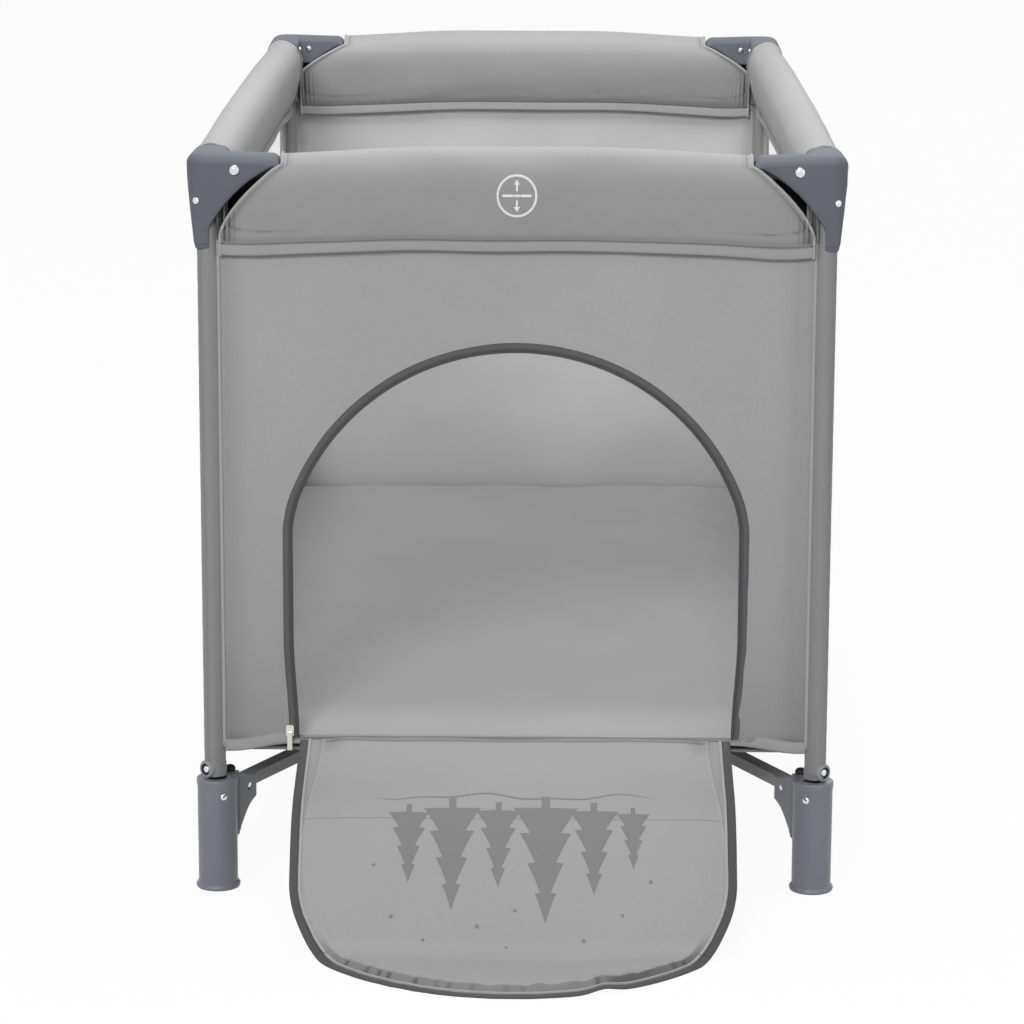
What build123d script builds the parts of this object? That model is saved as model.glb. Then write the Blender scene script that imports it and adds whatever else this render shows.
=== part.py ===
"""Folding playpen: four legs, hinged top rails with centre latches, a folding cross base and a zipped door.

The frame is +Z up, with +X to the right and +Y to the back, and the origin on the floor under the hub. The
door is in the front wall, at -Y, and its flap hangs open from the sill and lies out on the floor.
Corner pieces are modelled with the leg's axis at the origin and the centre of the pen towards +X and +Y,
and then placed at the four corners.
"""

from build123d import *
import math
import os

# ---------------------------------------------------------------- driving dimensions, in millimetres
LEG_X = 310.0  # leg axis from the centre plane, across
LEG_Y = 600.0  # leg axis from the centre plane, along
TOP_Z = 771.0  # top of the corner brackets

FIT = 0.3  # gap between soft or sliding pieces
PIN_FIT = 0.05  # radial clearance of a pin in its hole
SHOULDER_FIT = 0.55  # gap from a leg or a leg's wall edge to the fabric beside it

LEG_R = 10.5  # leg tube with its sleeve
LEG_WALL = 1.5

# corner bracket
SHELL_OUT = 20.0  # outer face of a bracket from the leg axis, and the round of its corner
SHELL_IN = 18.0  # inner face of its upper part
SKIRT_IN = 2.0  # inner face of its lower skirt
WING_TIP = 74.0  # end of a wing from the leg axis
WING_TIP_H = 14.0  # height of a wing at its tip
WING_SAG = 47.0  # depth of the wing's lower edge below the top, a third of the way along
SKIRT_H = 81.0  # depth of the skirt at the leg
TAIL_H = 99.0  # depth of the tail below the top
UPPER_H = 39.0  # depth of the part that wraps both sides of the rail
ROOF = 8.0  # plastic over the leg's end

# top rails
RAIL_DROP = 20.0  # rail axis below the top
RAIL_R = 10.0
RAIL_WALL = 1.5
LUG_R = 9.0  # half the height of a rail's flattened end
LUG_L = 16.0  # length of the flattened end from its pivot
RAIL_PIVOT = 29.0  # rail pivot in the bracket, from the leg axis
LATCH_PIVOT = 30.0  # end rails: latch pivot from the rail's centre
PIN_R = 3.0
PIN_HEAD_R = 5.5
PIN_HEAD_H = 3.0

# latch in the middle of each rail
LATCH_W = 30.0
LATCH_ABOVE = 10.0
LATCH_BELOW = 40.0
LATCH_END = 14.0  # housing past its pivot
BUTTON_R = 12.0
BUTTON_DROP = 25.0  # button axis below the rail axis
BUTTON_PROUD = 2.0
BUTTON_DEPTH = 7.0
BUTTON_TRAVEL = 5.0

# padded rail covers
COVER_OUT = 22.0
COVER_IN = 21.0
COVER_T = 3.5
COVER_H = 97.0
COVER_TOP = 1.0  # top of a cover below the bracket's top
COVER_START = 26.0  # end of a cover from the leg axis
COVER_GAP = 1.5  # cover to bracket

# cross base
FOOT_PIVOT = 44.0  # base tube pivot in the boot, from the leg axis along the diagonal
TUBE_Z = 100.0
TUBE_W = 16.0
TUBE_H = 12.0
TUBE_WALL = 1.5
BASE_PIN_R = 2.5
SLOT_GAP = 3.0  # free space behind a tube's rounded end

# boot at the bottom of each leg
BOOT_R = 20.5
BOOT_H = 118.0
LIP_R = 22.0
LIP_H = 7.0
FLANGE_R = 23.0
FLANGE_H = 9.0
WING_S = 62.0  # end of the boot's wing along the diagonal
WING_W = 26.0
WING_LOW = 84.0  # lower corner of the wing's end
WING_FOOT = 42.0  # where the wing's underside meets the boot
SOCKET_Z = 12.0

# small fittings
STUD_R = 2.0
STUD_HEAD_R = 4.0
STUD_HEAD_H = 2.5
BRACKET_STUD_DROP = 51.0
BRACKET_STUD_DEG = 30.0  # turn from straight out at the end of the pen, towards the side
BOOT_STUD_Z = 101.0
BOOT_STUD_DEG = -29.0
WASHER_DEG = 45.0
WASHER_R = 10.0
WASHER_T = 4.0
WASHER_Z = 128.0
BUFFER_R = 6.0
BUFFER_H = 6.0

# hub
HUB_R = 45.0
HUB_LOW = 60.0
HUB_TOP = 140.0
ARM_W = 30.0
ARM_LOW = 88.0
ARM_TOP = 116.0
ARM_PAST = 15.5  # arm past its pivot
CAP_R = 50.0
CAP_H = 7.0
STEM_R = 25.0
PAD_R = 35.0
PAD_H = 8.0

# fabric walls, floor and mattress
WALL_OUT = 5.0  # outer face of a wall from the leg axis
WALL_T = 3.0
HEM_Z = 147.0
FLOOR_T = 2.0
MATTRESS_T = 21.0
MATTRESS_INSET = 6.0  # mattress edge from the leg axis
MATTRESS_R = 30.0

# door
DOOR_W = 454.0
SILL_Z = 162.0
SPRING_Z = 375.0  # where the arch begins
ARCH_RISE = 190.0
ARCH_SIDE_R = 112.0
TAPE_W = 9.5
TAPE_T = 1.2

# door flap
FLAP_GAP = 3.5  # flap edge to the opening
FLAP_T = 2.4
FLAP_HINGE_DROP = 3.0  # hinge line below the sill
FLAP_UPPER_L = 150.0  # hinge line to the first knee
FLAP_UPPER_LEAN = 76.0  # lean of the panel over the sill, from straight down
FLAP_MIDDLE_LEAN = 31.0  # lean of the panel that comes down to the floor
FLAP_CLEAR = 0.6  # flap above the floor

# zip slider and pull
SLIDER_W = 8.0
SLIDER_H = 12.0
SLIDER_T = 3.0
SLIDER_Z = 164.0
PULL_W = 5.0
PULL_L = 18.0
PULL_T = 1.2
PULL_EYE_R = 1.6
PULL_DROP = 5.0  # pull's axis above the slider's lower edge

# ---------------------------------------------------------------- worked out from them
HALF_DIAGONAL = math.hypot(LEG_X, LEG_Y)
UX, UY = LEG_X / HALF_DIAGONAL, LEG_Y / HALF_DIAGONAL
# The base and the rails close together at every angle when the fixed lengths of both have the same share.
FIXED_DIAGONAL = (RAIL_PIVOT + LATCH_PIVOT) / UX
HUB_PIVOT = FIXED_DIAGONAL - FOOT_PIVOT
SIDE_LATCH_PIVOT = FIXED_DIAGONAL * UY - RAIL_PIVOT
TUBE_L = HALF_DIAGONAL - FIXED_DIAGONAL
RAIL_Z = TOP_Z - RAIL_DROP
COVER_LOW = TOP_Z - COVER_TOP - COVER_H
WALL_TOP = COVER_LOW - FIT
SLOT_W = TUBE_W + 2 * FIT
CHANNEL_W = 2 * RAIL_R + 2 * FIT
FLOOR_Z = HUB_TOP + CAP_H + FIT
MATTRESS_Z = FLOOR_Z + FLOOR_T + FIT
WALL_IN = WALL_OUT - WALL_T
HINGE_Y = -LEG_Y - WALL_OUT - FLAP_T / 2 - 2 * FIT
HINGE_Z = SILL_Z - FLAP_HINGE_DROP

CORNERS = {"fl": (-1, -1), "fr": (1, -1), "bl": (-1, 1), "br": (1, 1)}


def save(piece, label):
    """Name a finished part and write its STEP file."""
    piece.label = label
    export_step(piece, f"parts/{label}.step")


def at_corner(master, sx, sy):
    """A copy of a corner piece at the corner that the two signs give."""
    copy = master
    if sx > 0:
        copy = mirror(copy, about=Plane.YZ, mode=Mode.PRIVATE)
    if sy > 0:
        copy = mirror(copy, about=Plane.XZ, mode=Mode.PRIVATE)
    with BuildPart() as placed:
        with Locations((sx * LEG_X, sy * LEG_Y)):
            add(copy)
    return placed.part


def diagonal_plane(z=0.0):
    """Upright plane through the leg's axis, with local x along the diagonal to the centre."""
    return Plane(origin=(0, 0, z), x_dir=(UX, UY, 0), z_dir=(UY, -UX, 0))


def stud_plane(radius, degrees, z):
    """Plane that faces out of a round post: degrees turn from -Y towards -X."""
    turn = math.radians(degrees)
    out = (-math.sin(turn), -math.cos(turn), 0)
    return Plane(origin=(radius * out[0], radius * out[1], z), z_dir=out)


# ---------------------------------------------------------------- corner pieces

BRACKET_STUD_Z = TOP_Z - BRACKET_STUD_DROP
LEG_STUDS = (
    (BRACKET_STUD_DEG, BRACKET_STUD_Z),
    (WASHER_DEG, WASHER_Z),
    (BOOT_STUD_DEG, BOOT_STUD_Z),
)


def stud_hole(degrees, z):
    """Drill for a stud, from the leg's axis outwards."""
    with BuildPart() as drill:
        with BuildSketch(stud_plane(0, degrees, z)):
            Circle(STUD_R + PIN_FIT)
        extrude(amount=SHELL_OUT + BOOT_R)
    return drill.part


def headed_pin(plane, radius, length, head_r, head_h, tail=True):
    """Pin along a plane's normal: shank, domed head at its far end, and a small head where it starts."""
    with BuildPart() as pin:
        with BuildSketch(plane):
            Circle(radius)
        extrude(amount=length)
        with BuildSketch(plane.offset(length)):
            Circle(head_r)
        extrude(amount=head_h, taper=35)
        if tail:
            with BuildSketch(plane):
                Circle(head_r * 0.8)
            extrude(amount=-head_h / 2)
    return pin.part


def stud(degrees, z, seat):
    """Round-headed stud through the leg's wall, its head on a seat that far from the leg's axis."""
    start = LEG_R - LEG_WALL
    plane = stud_plane(start, degrees, z)
    return headed_pin(plane, STUD_R, seat - start, STUD_HEAD_R, STUD_HEAD_H, tail=False)


def leg_tube():
    """Round leg from inside the boot to inside the bracket, drilled for its studs."""
    holes = [stud_hole(degrees, z) for degrees, z in LEG_STUDS]
    with BuildPart() as tube:
        with BuildSketch(Plane.XY.offset(SOCKET_Z)):
            Circle(LEG_R)
            Circle(LEG_R - LEG_WALL, mode=Mode.SUBTRACT)
        extrude(amount=TOP_Z - ROOF - SOCKET_Z)
        add(holes, mode=Mode.SUBTRACT)
    return tube.part


def wing_outline(grow=0.0):
    """Outline of a bracket's wing, (along the rail, height): flat top, hollow lower edge, skirt."""
    start, tip = -SHELL_OUT - grow, WING_TIP + grow
    top, skirt = TOP_Z + grow, TOP_Z - SKIRT_H - grow
    heel = (SKIRT_IN + grow, skirt)
    toe = (tip, TOP_Z - WING_TIP_H - grow)
    sag = (SKIRT_IN + (WING_TIP - SKIRT_IN) / 3 + grow, TOP_Z - WING_SAG - grow)
    with BuildLine() as edge:
        Polyline(heel, (start, skirt), (start, top), (tip, top), toe)
        ThreePointArc(toe, sag, heel)
    return edge.line


def corner_bracket():
    """Moulded corner: two wings over the rail ends, a socket for the leg and a tail down its outside."""
    outline = wing_outline()
    hole = stud_hole(BRACKET_STUD_DEG, BRACKET_STUD_Z)
    reach = SHELL_OUT + SKIRT_IN
    upper = TOP_Z - UPPER_H
    start, roof = LEG_R + 2.0, RAIL_Z + RAIL_R + 2.0
    length = WING_TIP + 2.0 - start
    with BuildPart() as shell:
        # one wing's outer skirt, from its outer face to just past the leg's axis, then the other's
        with BuildSketch(Plane.XZ.offset(SHELL_OUT)):
            with BuildLine():
                add(outline)
            make_face()
        extrude(amount=-reach)
        with BuildSketch(Plane.YZ.offset(-SHELL_OUT)):
            with BuildLine():
                add(outline)
            make_face()
        extrude(amount=reach)
        # their upper parts wrap both sides of the rails
        with BuildSketch(Plane.XZ.offset(SHELL_OUT)):
            with BuildLine():
                add(outline)
            make_face()
            with Locations((0, upper / 2)):
                Rectangle(upper, upper, mode=Mode.SUBTRACT)
        extrude(amount=-(SHELL_OUT + SHELL_IN))
        with BuildSketch(Plane.YZ.offset(-SHELL_OUT)):
            with BuildLine():
                add(outline)
            make_face()
            with Locations((0, upper / 2)):
                Rectangle(upper, upper, mode=Mode.SUBTRACT)
        extrude(amount=SHELL_OUT + SHELL_IN)
        with BuildSketch(Plane.XY.offset(TOP_Z - TAIL_H)):
            with Locations(((SKIRT_IN - SHELL_OUT) / 2, (SKIRT_IN - SHELL_OUT) / 2)):
                Rectangle(reach, reach)
        extrude(amount=TAIL_H - SKIRT_H)
        fillet(shell.edges().filter_by(Axis.Z).group_by(Axis.X)[0].group_by(Axis.Y)[0], SHELL_OUT)
        fillet(shell.edges().group_by(Axis.Z)[-1], 3.0)
        with BuildSketch(Plane.XY):
            Circle(LEG_R + PIN_FIT)
        extrude(amount=TOP_Z - ROOF, mode=Mode.SUBTRACT)
        # one channel along each wing for the rail's end, open below and at the tip
        with BuildSketch(Plane.XY.offset(TOP_Z - TAIL_H - 1)):
            with Locations((start + length / 2, 0)):
                Rectangle(length, CHANNEL_W)
            with Locations((0, start + length / 2)):
                Rectangle(CHANNEL_W, length)
        extrude(amount=roof - (TOP_Z - TAIL_H - 1), mode=Mode.SUBTRACT)
        with BuildSketch(Plane.XZ):
            with Locations((RAIL_PIVOT, RAIL_Z)):
                Circle(PIN_R + PIN_FIT)
        extrude(amount=SHELL_OUT + 1, both=True, mode=Mode.SUBTRACT)
        with BuildSketch(Plane.YZ):
            with Locations((RAIL_PIVOT, RAIL_Z)):
                Circle(PIN_R + PIN_FIT)
        extrude(amount=SHELL_OUT + 1, both=True, mode=Mode.SUBTRACT)
        add(hole, mode=Mode.SUBTRACT)
    return shell.part


def bracket_rivets():
    """Two rail pivots through the wings, and the stud that holds the bracket on the leg."""
    length = SHELL_OUT + SHELL_IN
    front = Plane(origin=(RAIL_PIVOT, SHELL_IN, RAIL_Z), z_dir=(0, -1, 0))
    side = Plane(origin=(SHELL_IN, RAIL_PIVOT, RAIL_Z), z_dir=(-1, 0, 0))
    with BuildPart() as rivets:
        add(headed_pin(front, PIN_R, length, PIN_HEAD_R, PIN_HEAD_H))
        add(headed_pin(side, PIN_R, length, PIN_HEAD_R, PIN_HEAD_H))
        add(stud(BRACKET_STUD_DEG, BRACKET_STUD_Z, SHELL_OUT + PIN_FIT))
    return rivets.part


def foot_boot():
    """Plastic boot: round post with a flange and a lip, and a wing that holds the base tube."""
    hole = stud_hole(BOOT_STUD_DEG, BOOT_STUD_Z)
    back = FOOT_PIVOT - TUBE_H / 2 - SLOT_GAP
    floor = TUBE_Z - TUBE_H / 2 - FIT
    rounds = ((0, BOOT_H, BOOT_R), (0, FLANGE_H, FLANGE_R), (BOOT_H - LIP_H, LIP_H, LIP_R))
    with BuildPart() as boot:
        for low, height, radius in rounds:
            with BuildSketch(Plane.XY.offset(low)):
                Circle(radius)
            extrude(amount=height)
        with BuildSketch(diagonal_plane()):
            with BuildLine():
                Polyline((LEG_R, WING_FOOT), (LEG_R, BOOT_H), (WING_S, BOOT_H), (WING_S, WING_LOW))
                ThreePointArc((WING_S, WING_LOW), (BOOT_R + 14, WING_FOOT + 26), (BOOT_R - 1, WING_FOOT))
                Line((BOOT_R - 1, WING_FOOT), (LEG_R, WING_FOOT))
            make_face()
        extrude(amount=WING_W / 2, both=True)
        with BuildSketch(Plane.XY.offset(SOCKET_Z)):
            Circle(LEG_R + PIN_FIT)
        extrude(amount=BOOT_H, mode=Mode.SUBTRACT)
        # slot for the base tube, open at its end and on top, whose floor is the tube's stop
        with BuildSketch(diagonal_plane()):
            with Locations(((back + WING_S + 1) / 2, (floor + BOOT_H + 1) / 2)):
                Rectangle(WING_S + 1 - back, BOOT_H + 1 - floor)
        extrude(amount=SLOT_W / 2, both=True, mode=Mode.SUBTRACT)
        with BuildSketch(diagonal_plane()):
            with Locations((FOOT_PIVOT, TUBE_Z)):
                Circle(BASE_PIN_R + PIN_FIT)
        extrude(amount=WING_W, both=True, mode=Mode.SUBTRACT)
        add(hole, mode=Mode.SUBTRACT)
    return boot.part


def foot_fasteners():
    """The base tube's pivot pin, the boot's stud, the washer and screw above it, and the rubber buffer."""
    pin = Plane(
        origin=(FOOT_PIVOT * UX - WING_W / 2 * UY, FOOT_PIVOT * UY + WING_W / 2 * UX, TUBE_Z),
        z_dir=(UY, -UX, 0),
    )
    washer = LEG_R + PIN_FIT
    buffer = (LEG_R + FOOT_PIVOT - TUBE_H / 2 - SLOT_GAP) / 2
    with BuildPart() as fasteners:
        add(headed_pin(pin, BASE_PIN_R, WING_W, STUD_HEAD_R, STUD_HEAD_H))
        add(stud(BOOT_STUD_DEG, BOOT_STUD_Z, BOOT_R + PIN_FIT))
        add(stud(WASHER_DEG, WASHER_Z, washer + WASHER_T))
        with BuildSketch(stud_plane(washer, WASHER_DEG, WASHER_Z)):
            Circle(WASHER_R)
        extrude(amount=WASHER_T, taper=12)
        with BuildSketch(Plane.XY.offset(BOOT_H)):
            with Locations((buffer * UX, buffer * UY)):
                Circle(BUFFER_R)
        extrude(amount=BUFFER_H, taper=20)
    return fasteners.part


# ---------------------------------------------------------------- rails and latches


def rail_half(length):
    """Half a top rail along +X, from its first pivot to its second: a round tube with drilled ends."""
    with BuildPart() as rail:
        with BuildSketch(Plane.YZ.offset(LUG_L)):
            Circle(RAIL_R)
            Circle(RAIL_R - RAIL_WALL, mode=Mode.SUBTRACT)
        extrude(amount=length - 2 * LUG_L)
        for pivot, way in ((0.0, 1), (length, -1)):
            with BuildSketch(Plane.XZ):
                with Locations((pivot, 0)):
                    Circle(LUG_R)
                with Locations((pivot + way * LUG_L / 2, 0)):
                    Rectangle(LUG_L, 2 * LUG_R)
            extrude(amount=RAIL_R, both=True)
        with BuildSketch(Plane.XZ):
            with Locations((0, 0), (length, 0)):
                Circle(PIN_R + PIN_FIT)
        extrude(amount=2 * RAIL_R, both=True, mode=Mode.SUBTRACT)
    return rail.part


def latch_housing(pivot):
    """Latch in a rail's middle, along X, outer face at -Y: slots for the rail ends, a button's bore."""
    length = 2 * (pivot + LATCH_END)
    slot_start = pivot - LUG_R - 2.0
    slot_end = pivot + LATCH_END + 1
    floor = -LUG_R - FIT
    pins = [
        headed_pin(
            Plane(origin=(way * pivot, LATCH_W / 2, 0), z_dir=(0, -1, 0)), PIN_R, LATCH_W, PIN_R + 1.5, 1.2
        )
        for way in (-1, 1)
    ]
    with BuildPart() as housing:
        with BuildSketch(Plane.XZ):
            with Locations((0, (LATCH_ABOVE - LATCH_BELOW) / 2)):
                RectangleRounded(length, LATCH_ABOVE + LATCH_BELOW, 6.0)
        extrude(amount=LATCH_W / 2, both=True)
        for way in (-1, 1):
            with BuildSketch(Plane.XZ):
                with Locations((way * (slot_start + slot_end) / 2, (floor + LATCH_ABOVE + 1) / 2)):
                    Rectangle(slot_end - slot_start, LATCH_ABOVE + 1 - floor)
            extrude(amount=CHANNEL_W / 2, both=True, mode=Mode.SUBTRACT)
            # the tube's round end is wider than its lug, so the slot's floor drops past it
            with BuildSketch(Plane.XZ):
                with Locations((way * (pivot + LUG_L), -(RAIL_R + 1) / 2)):
                    Rectangle(8.0, RAIL_R + 1)
            extrude(amount=CHANNEL_W / 2, both=True, mode=Mode.SUBTRACT)
        with BuildSketch(Plane.XZ):
            with Locations((-pivot, 0), (pivot, 0)):
                Circle(PIN_R + PIN_FIT)
        extrude(amount=LATCH_W, both=True, mode=Mode.SUBTRACT)
        with BuildSketch(Plane.XZ.offset(LATCH_W / 2)):
            with Locations((0, -BUTTON_DROP)):
                Circle(BUTTON_R + FIT)
        extrude(amount=-(BUTTON_DEPTH + BUTTON_TRAVEL + FIT - BUTTON_PROUD), mode=Mode.SUBTRACT)
        add(pins)
    return housing.part


def latch_button():
    """Round release button, pressed inwards against its spring."""
    with BuildPart() as button:
        with BuildSketch(Plane.XZ.offset(LATCH_W / 2 + BUTTON_PROUD)):
            with Locations((0, -BUTTON_DROP)):
                Circle(BUTTON_R)
        extrude(amount=-BUTTON_DEPTH)
        fillet(button.edges().group_by(Axis.Y)[0], 1.5)
    return button.part


def rail_cover(half_span):
    """Padded sleeve over a rail along X, cut back below both brackets; half_span is centre to leg."""
    width, depth = COVER_OUT + COVER_IN, COVER_H
    length = 2 * (half_span - COVER_START)
    centre_y = (COVER_IN - COVER_OUT) / 2
    outline = wing_outline(COVER_GAP)
    with BuildPart() as wing:
        with BuildSketch(Plane.XZ):
            with BuildLine():
                add(outline)
            make_face()
        extrude(amount=2 * SHELL_OUT, both=True)
    with BuildPart() as other_wing:
        mirror(wing.part, about=Plane.YZ)
    with BuildPart() as cover:
        with BuildSketch(Plane.YZ.offset(-length / 2)):
            with Locations((centre_y, COVER_LOW + depth / 2 - RAIL_Z)):
                RectangleRounded(width, depth, 14.0)
                RectangleRounded(width - 2 * COVER_T, depth - 2 * COVER_T, 10.5, mode=Mode.SUBTRACT)
        extrude(amount=length)
        with Locations((-half_span, 0, -RAIL_Z)):
            add(wing.part, mode=Mode.SUBTRACT)
        with Locations((half_span, 0, -RAIL_Z)):
            add(other_wing.part, mode=Mode.SUBTRACT)
    return cover.part


# Each rail: its turn about Z, the middle of its latch, the half span to the leg axis and its latch pivot.
# At no turn a rail runs along +X with its outer face at -Y, as the front one does.
RAILS = {
    "front": (0.0, (0.0, -LEG_Y), LEG_X, LATCH_PIVOT),
    "back": (180.0, (0.0, LEG_Y), LEG_X, LATCH_PIVOT),
    "left": (-90.0, (-LEG_X, 0.0), LEG_Y, SIDE_LATCH_PIVOT),
    "right": (90.0, (LEG_X, 0.0), LEG_Y, SIDE_LATCH_PIVOT),
}
RAIL_ENDS = {"front": ("l", "r"), "back": ("r", "l"), "left": ("b", "f"), "right": ("f", "b")}


def on_rail(piece, turn, middle, z=RAIL_Z):
    """A copy of a piece modelled along +X about the middle of a rail, put on that rail."""
    with BuildPart() as placed:
        with Locations(Location((*middle, z), (0, 0, turn))):
            add(piece)
    return placed.part


def build_rails():
    """Write the two halves, latch, button and cover of each top rail."""
    for name, (turn, middle, half_span, pivot) in RAILS.items():
        length = half_span - RAIL_PIVOT - pivot
        half = rail_half(length)
        for end, start in zip(RAIL_ENDS[name], (-half_span + RAIL_PIVOT, pivot)):
            with BuildPart() as shifted:
                with Locations((start, 0, 0)):
                    add(half)
            save(on_rail(shifted.part, turn, middle), f"rail_{name}_{end}")
        save(on_rail(latch_housing(pivot), turn, middle), f"latch_{name}")
        save(on_rail(latch_button(), turn, middle), f"button_{name}")
        save(on_rail(rail_cover(half_span), turn, middle), f"cover_{name}")


# ---------------------------------------------------------------- cross base


def base_tube():
    """Base tube along +X, from its pivot in a boot to its pivot in the hub: hollow, with drilled ends."""
    with BuildPart() as tube:
        with BuildSketch(Plane.XZ):
            with Locations((TUBE_L / 2, 0)):
                SlotCenterToCenter(TUBE_L, TUBE_H)
        extrude(amount=TUBE_W / 2, both=True)
        with BuildSketch(Plane.YZ.offset(TUBE_H)):
            Rectangle(TUBE_W - 2 * TUBE_WALL, TUBE_H - 2 * TUBE_WALL)
        extrude(amount=TUBE_L - 2 * TUBE_H, mode=Mode.SUBTRACT)
        with BuildSketch(Plane.XZ):
            with Locations((0, 0), (TUBE_L, 0)):
                Circle(BASE_PIN_R + PIN_FIT)
        extrude(amount=TUBE_W, both=True, mode=Mode.SUBTRACT)
    return tube.part


def build_base():
    """Write the four base tubes, the hub with its stem and foot, the hub's pins and its cap."""
    tube = base_tube()
    for name, (sx, sy) in CORNERS.items():
        heading = math.degrees(math.atan2(-sy * UY, -sx * UX))
        start = HALF_DIAGONAL - FOOT_PIVOT
        with BuildPart() as placed:
            with Locations(Location((sx * UX * start, sy * UY * start, TUBE_Z), (0, 0, heading))):
                add(tube)
        save(placed.part, f"base_tube_{name}")

    turns = [math.degrees(math.atan2(sy * UY, sx * UX)) for sx, sy in CORNERS.values()]
    arm_end = HUB_PIVOT + ARM_PAST
    slot_in = HUB_PIVOT - TUBE_H / 2 - SLOT_GAP
    slot_roof = TUBE_Z + TUBE_H / 2 + FIT
    rounds = ((HUB_LOW, HUB_TOP - HUB_LOW, HUB_R), (0, HUB_LOW, STEM_R), (0, PAD_H, PAD_R))
    with BuildPart() as hub:
        for low, height, radius in rounds:
            with BuildSketch(Plane.XY.offset(low)):
                Circle(radius)
            extrude(amount=height)
        for turn in turns:
            with BuildSketch(Plane.XY.rotated((0, 0, turn)).offset(ARM_LOW)):
                with Locations((arm_end / 2, 0)):
                    Rectangle(arm_end, ARM_W)
            extrude(amount=ARM_TOP - ARM_LOW)
        for turn in turns:
            arm = Plane.XY.rotated((0, 0, turn))
            with BuildSketch(arm.offset(ARM_LOW - 1)):
                with Locations(((slot_in + arm_end + 1) / 2, 0)):
                    Rectangle(arm_end + 1 - slot_in, SLOT_W)
            extrude(amount=slot_roof - ARM_LOW + 1, mode=Mode.SUBTRACT)
            with BuildSketch(Plane.XZ.rotated((0, 0, turn))):
                with Locations((HUB_PIVOT, TUBE_Z)):
                    Circle(BASE_PIN_R + PIN_FIT)
            extrude(amount=ARM_W, both=True, mode=Mode.SUBTRACT)
    save(hub.part, "hub_body")

    start = Plane(origin=(HUB_PIVOT, ARM_W / 2, TUBE_Z), z_dir=(0, -1, 0))
    pin = headed_pin(start, BASE_PIN_R, ARM_W, BASE_PIN_R + 1.5, 1.2)
    with BuildPart() as pins:
        for turn in turns:
            with Locations(Location((0, 0, 0), (0, 0, turn))):
                add(pin)
    save(pins.part, "hub_pins")

    with BuildPart() as cap:
        with BuildSketch(Plane.XY.offset(HUB_TOP)):
            Circle(CAP_R)
        extrude(amount=CAP_H)
        fillet(cap.edges().group_by(Axis.Z)[-1], 3.0)
    save(cap.part, "hub_cap")


# ---------------------------------------------------------------- fabric walls, floor and mattress


def arch_line(half_width, rise):
    """Door outline in a wall's (x, z): straight sides, then an arch of two side arcs and a crown arc."""
    side = ARCH_SIDE_R - (DOOR_W / 2 - half_width)
    crown = (half_width**2 + rise**2 - 2 * half_width * side) / (2 * (rise - side))
    centre = half_width - side
    lean = math.hypot(centre, crown - rise)
    joint = (centre + side * centre / lean, SPRING_Z + side * (crown - rise) / lean)
    bisect = math.atan2(crown - rise, centre) / 2
    bulge = (centre + side * math.cos(bisect), SPRING_Z + side * math.sin(bisect))
    with BuildLine() as line:
        Line((half_width, SILL_Z), (half_width, SPRING_Z))
        ThreePointArc((half_width, SPRING_Z), bulge, joint)
        ThreePointArc(joint, (0, SPRING_Z + rise), (-joint[0], joint[1]))
        ThreePointArc((-joint[0], joint[1]), (-bulge[0], bulge[1]), (-half_width, SPRING_Z))
        Line((-half_width, SPRING_Z), (-half_width, SILL_Z))
        Line((-half_width, SILL_Z), (half_width, SILL_Z))
    return line.line


def wall_panel(half_span, door=False):
    """Fabric wall along X between two legs, with its outer face towards -Y, in the plane of the legs."""
    width = 2 * (half_span - LEG_R - SHOULDER_FIT)
    outline = arch_line(DOOR_W / 2, ARCH_RISE)
    with BuildPart() as wall:
        with BuildSketch(Plane.XZ.offset(WALL_OUT)):
            with Locations((0, (HEM_Z + WALL_TOP) / 2)):
                Rectangle(width, WALL_TOP - HEM_Z)
            if door:
                with BuildLine():
                    add(outline)
                make_face(mode=Mode.SUBTRACT)
        extrude(amount=-WALL_T)
    return wall.part


def build_fabric():
    """Write the four walls, the zip tape round the door, the floor and the mattress."""
    for name, (turn, middle, half_span, _) in RAILS.items():
        panel = wall_panel(half_span, door=name == "front")
        save(on_rail(panel, turn, middle, z=0), f"wall_{name}")

    tape_inside = arch_line(DOOR_W / 2, ARCH_RISE)
    tape_outside = arch_line(DOOR_W / 2 + TAPE_W, ARCH_RISE + TAPE_W)
    with BuildPart() as tape:
        with BuildSketch(Plane.XZ.offset(LEG_Y + WALL_OUT)):
            with BuildLine():
                add(tape_outside)
            make_face()
            with BuildLine():
                add(tape_inside)
            make_face(mode=Mode.SUBTRACT)
        extrude(amount=TAPE_T)
    save(tape.part, "zip_tape")

    floor_x, floor_y = (2 * (span + WALL_IN - FIT) for span in (LEG_X, LEG_Y))
    notch = LEG_R + 2 * SHOULDER_FIT + WALL_IN
    with BuildPart() as floor:
        with BuildSketch(Plane.XY.offset(FLOOR_Z)):
            Rectangle(floor_x, floor_y)
            with Locations(*((sx * LEG_X, sy * LEG_Y) for sx, sy in CORNERS.values())):
                Rectangle(2 * notch, 2 * notch, mode=Mode.SUBTRACT)
        extrude(amount=FLOOR_T)
    save(floor.part, "floor_sheet")

    with BuildPart() as mattress:
        with BuildSketch(Plane.XY.offset(MATTRESS_Z)):
            RectangleRounded(2 * (LEG_X - MATTRESS_INSET), 2 * (LEG_Y - MATTRESS_INSET), MATTRESS_R)
        extrude(amount=MATTRESS_T)
        fillet(mattress.edges().group_by(Axis.Z)[-1], 6.0)
    save(mattress.part, "mattress")


# ---------------------------------------------------------------- door flap, slider and pull

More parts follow.
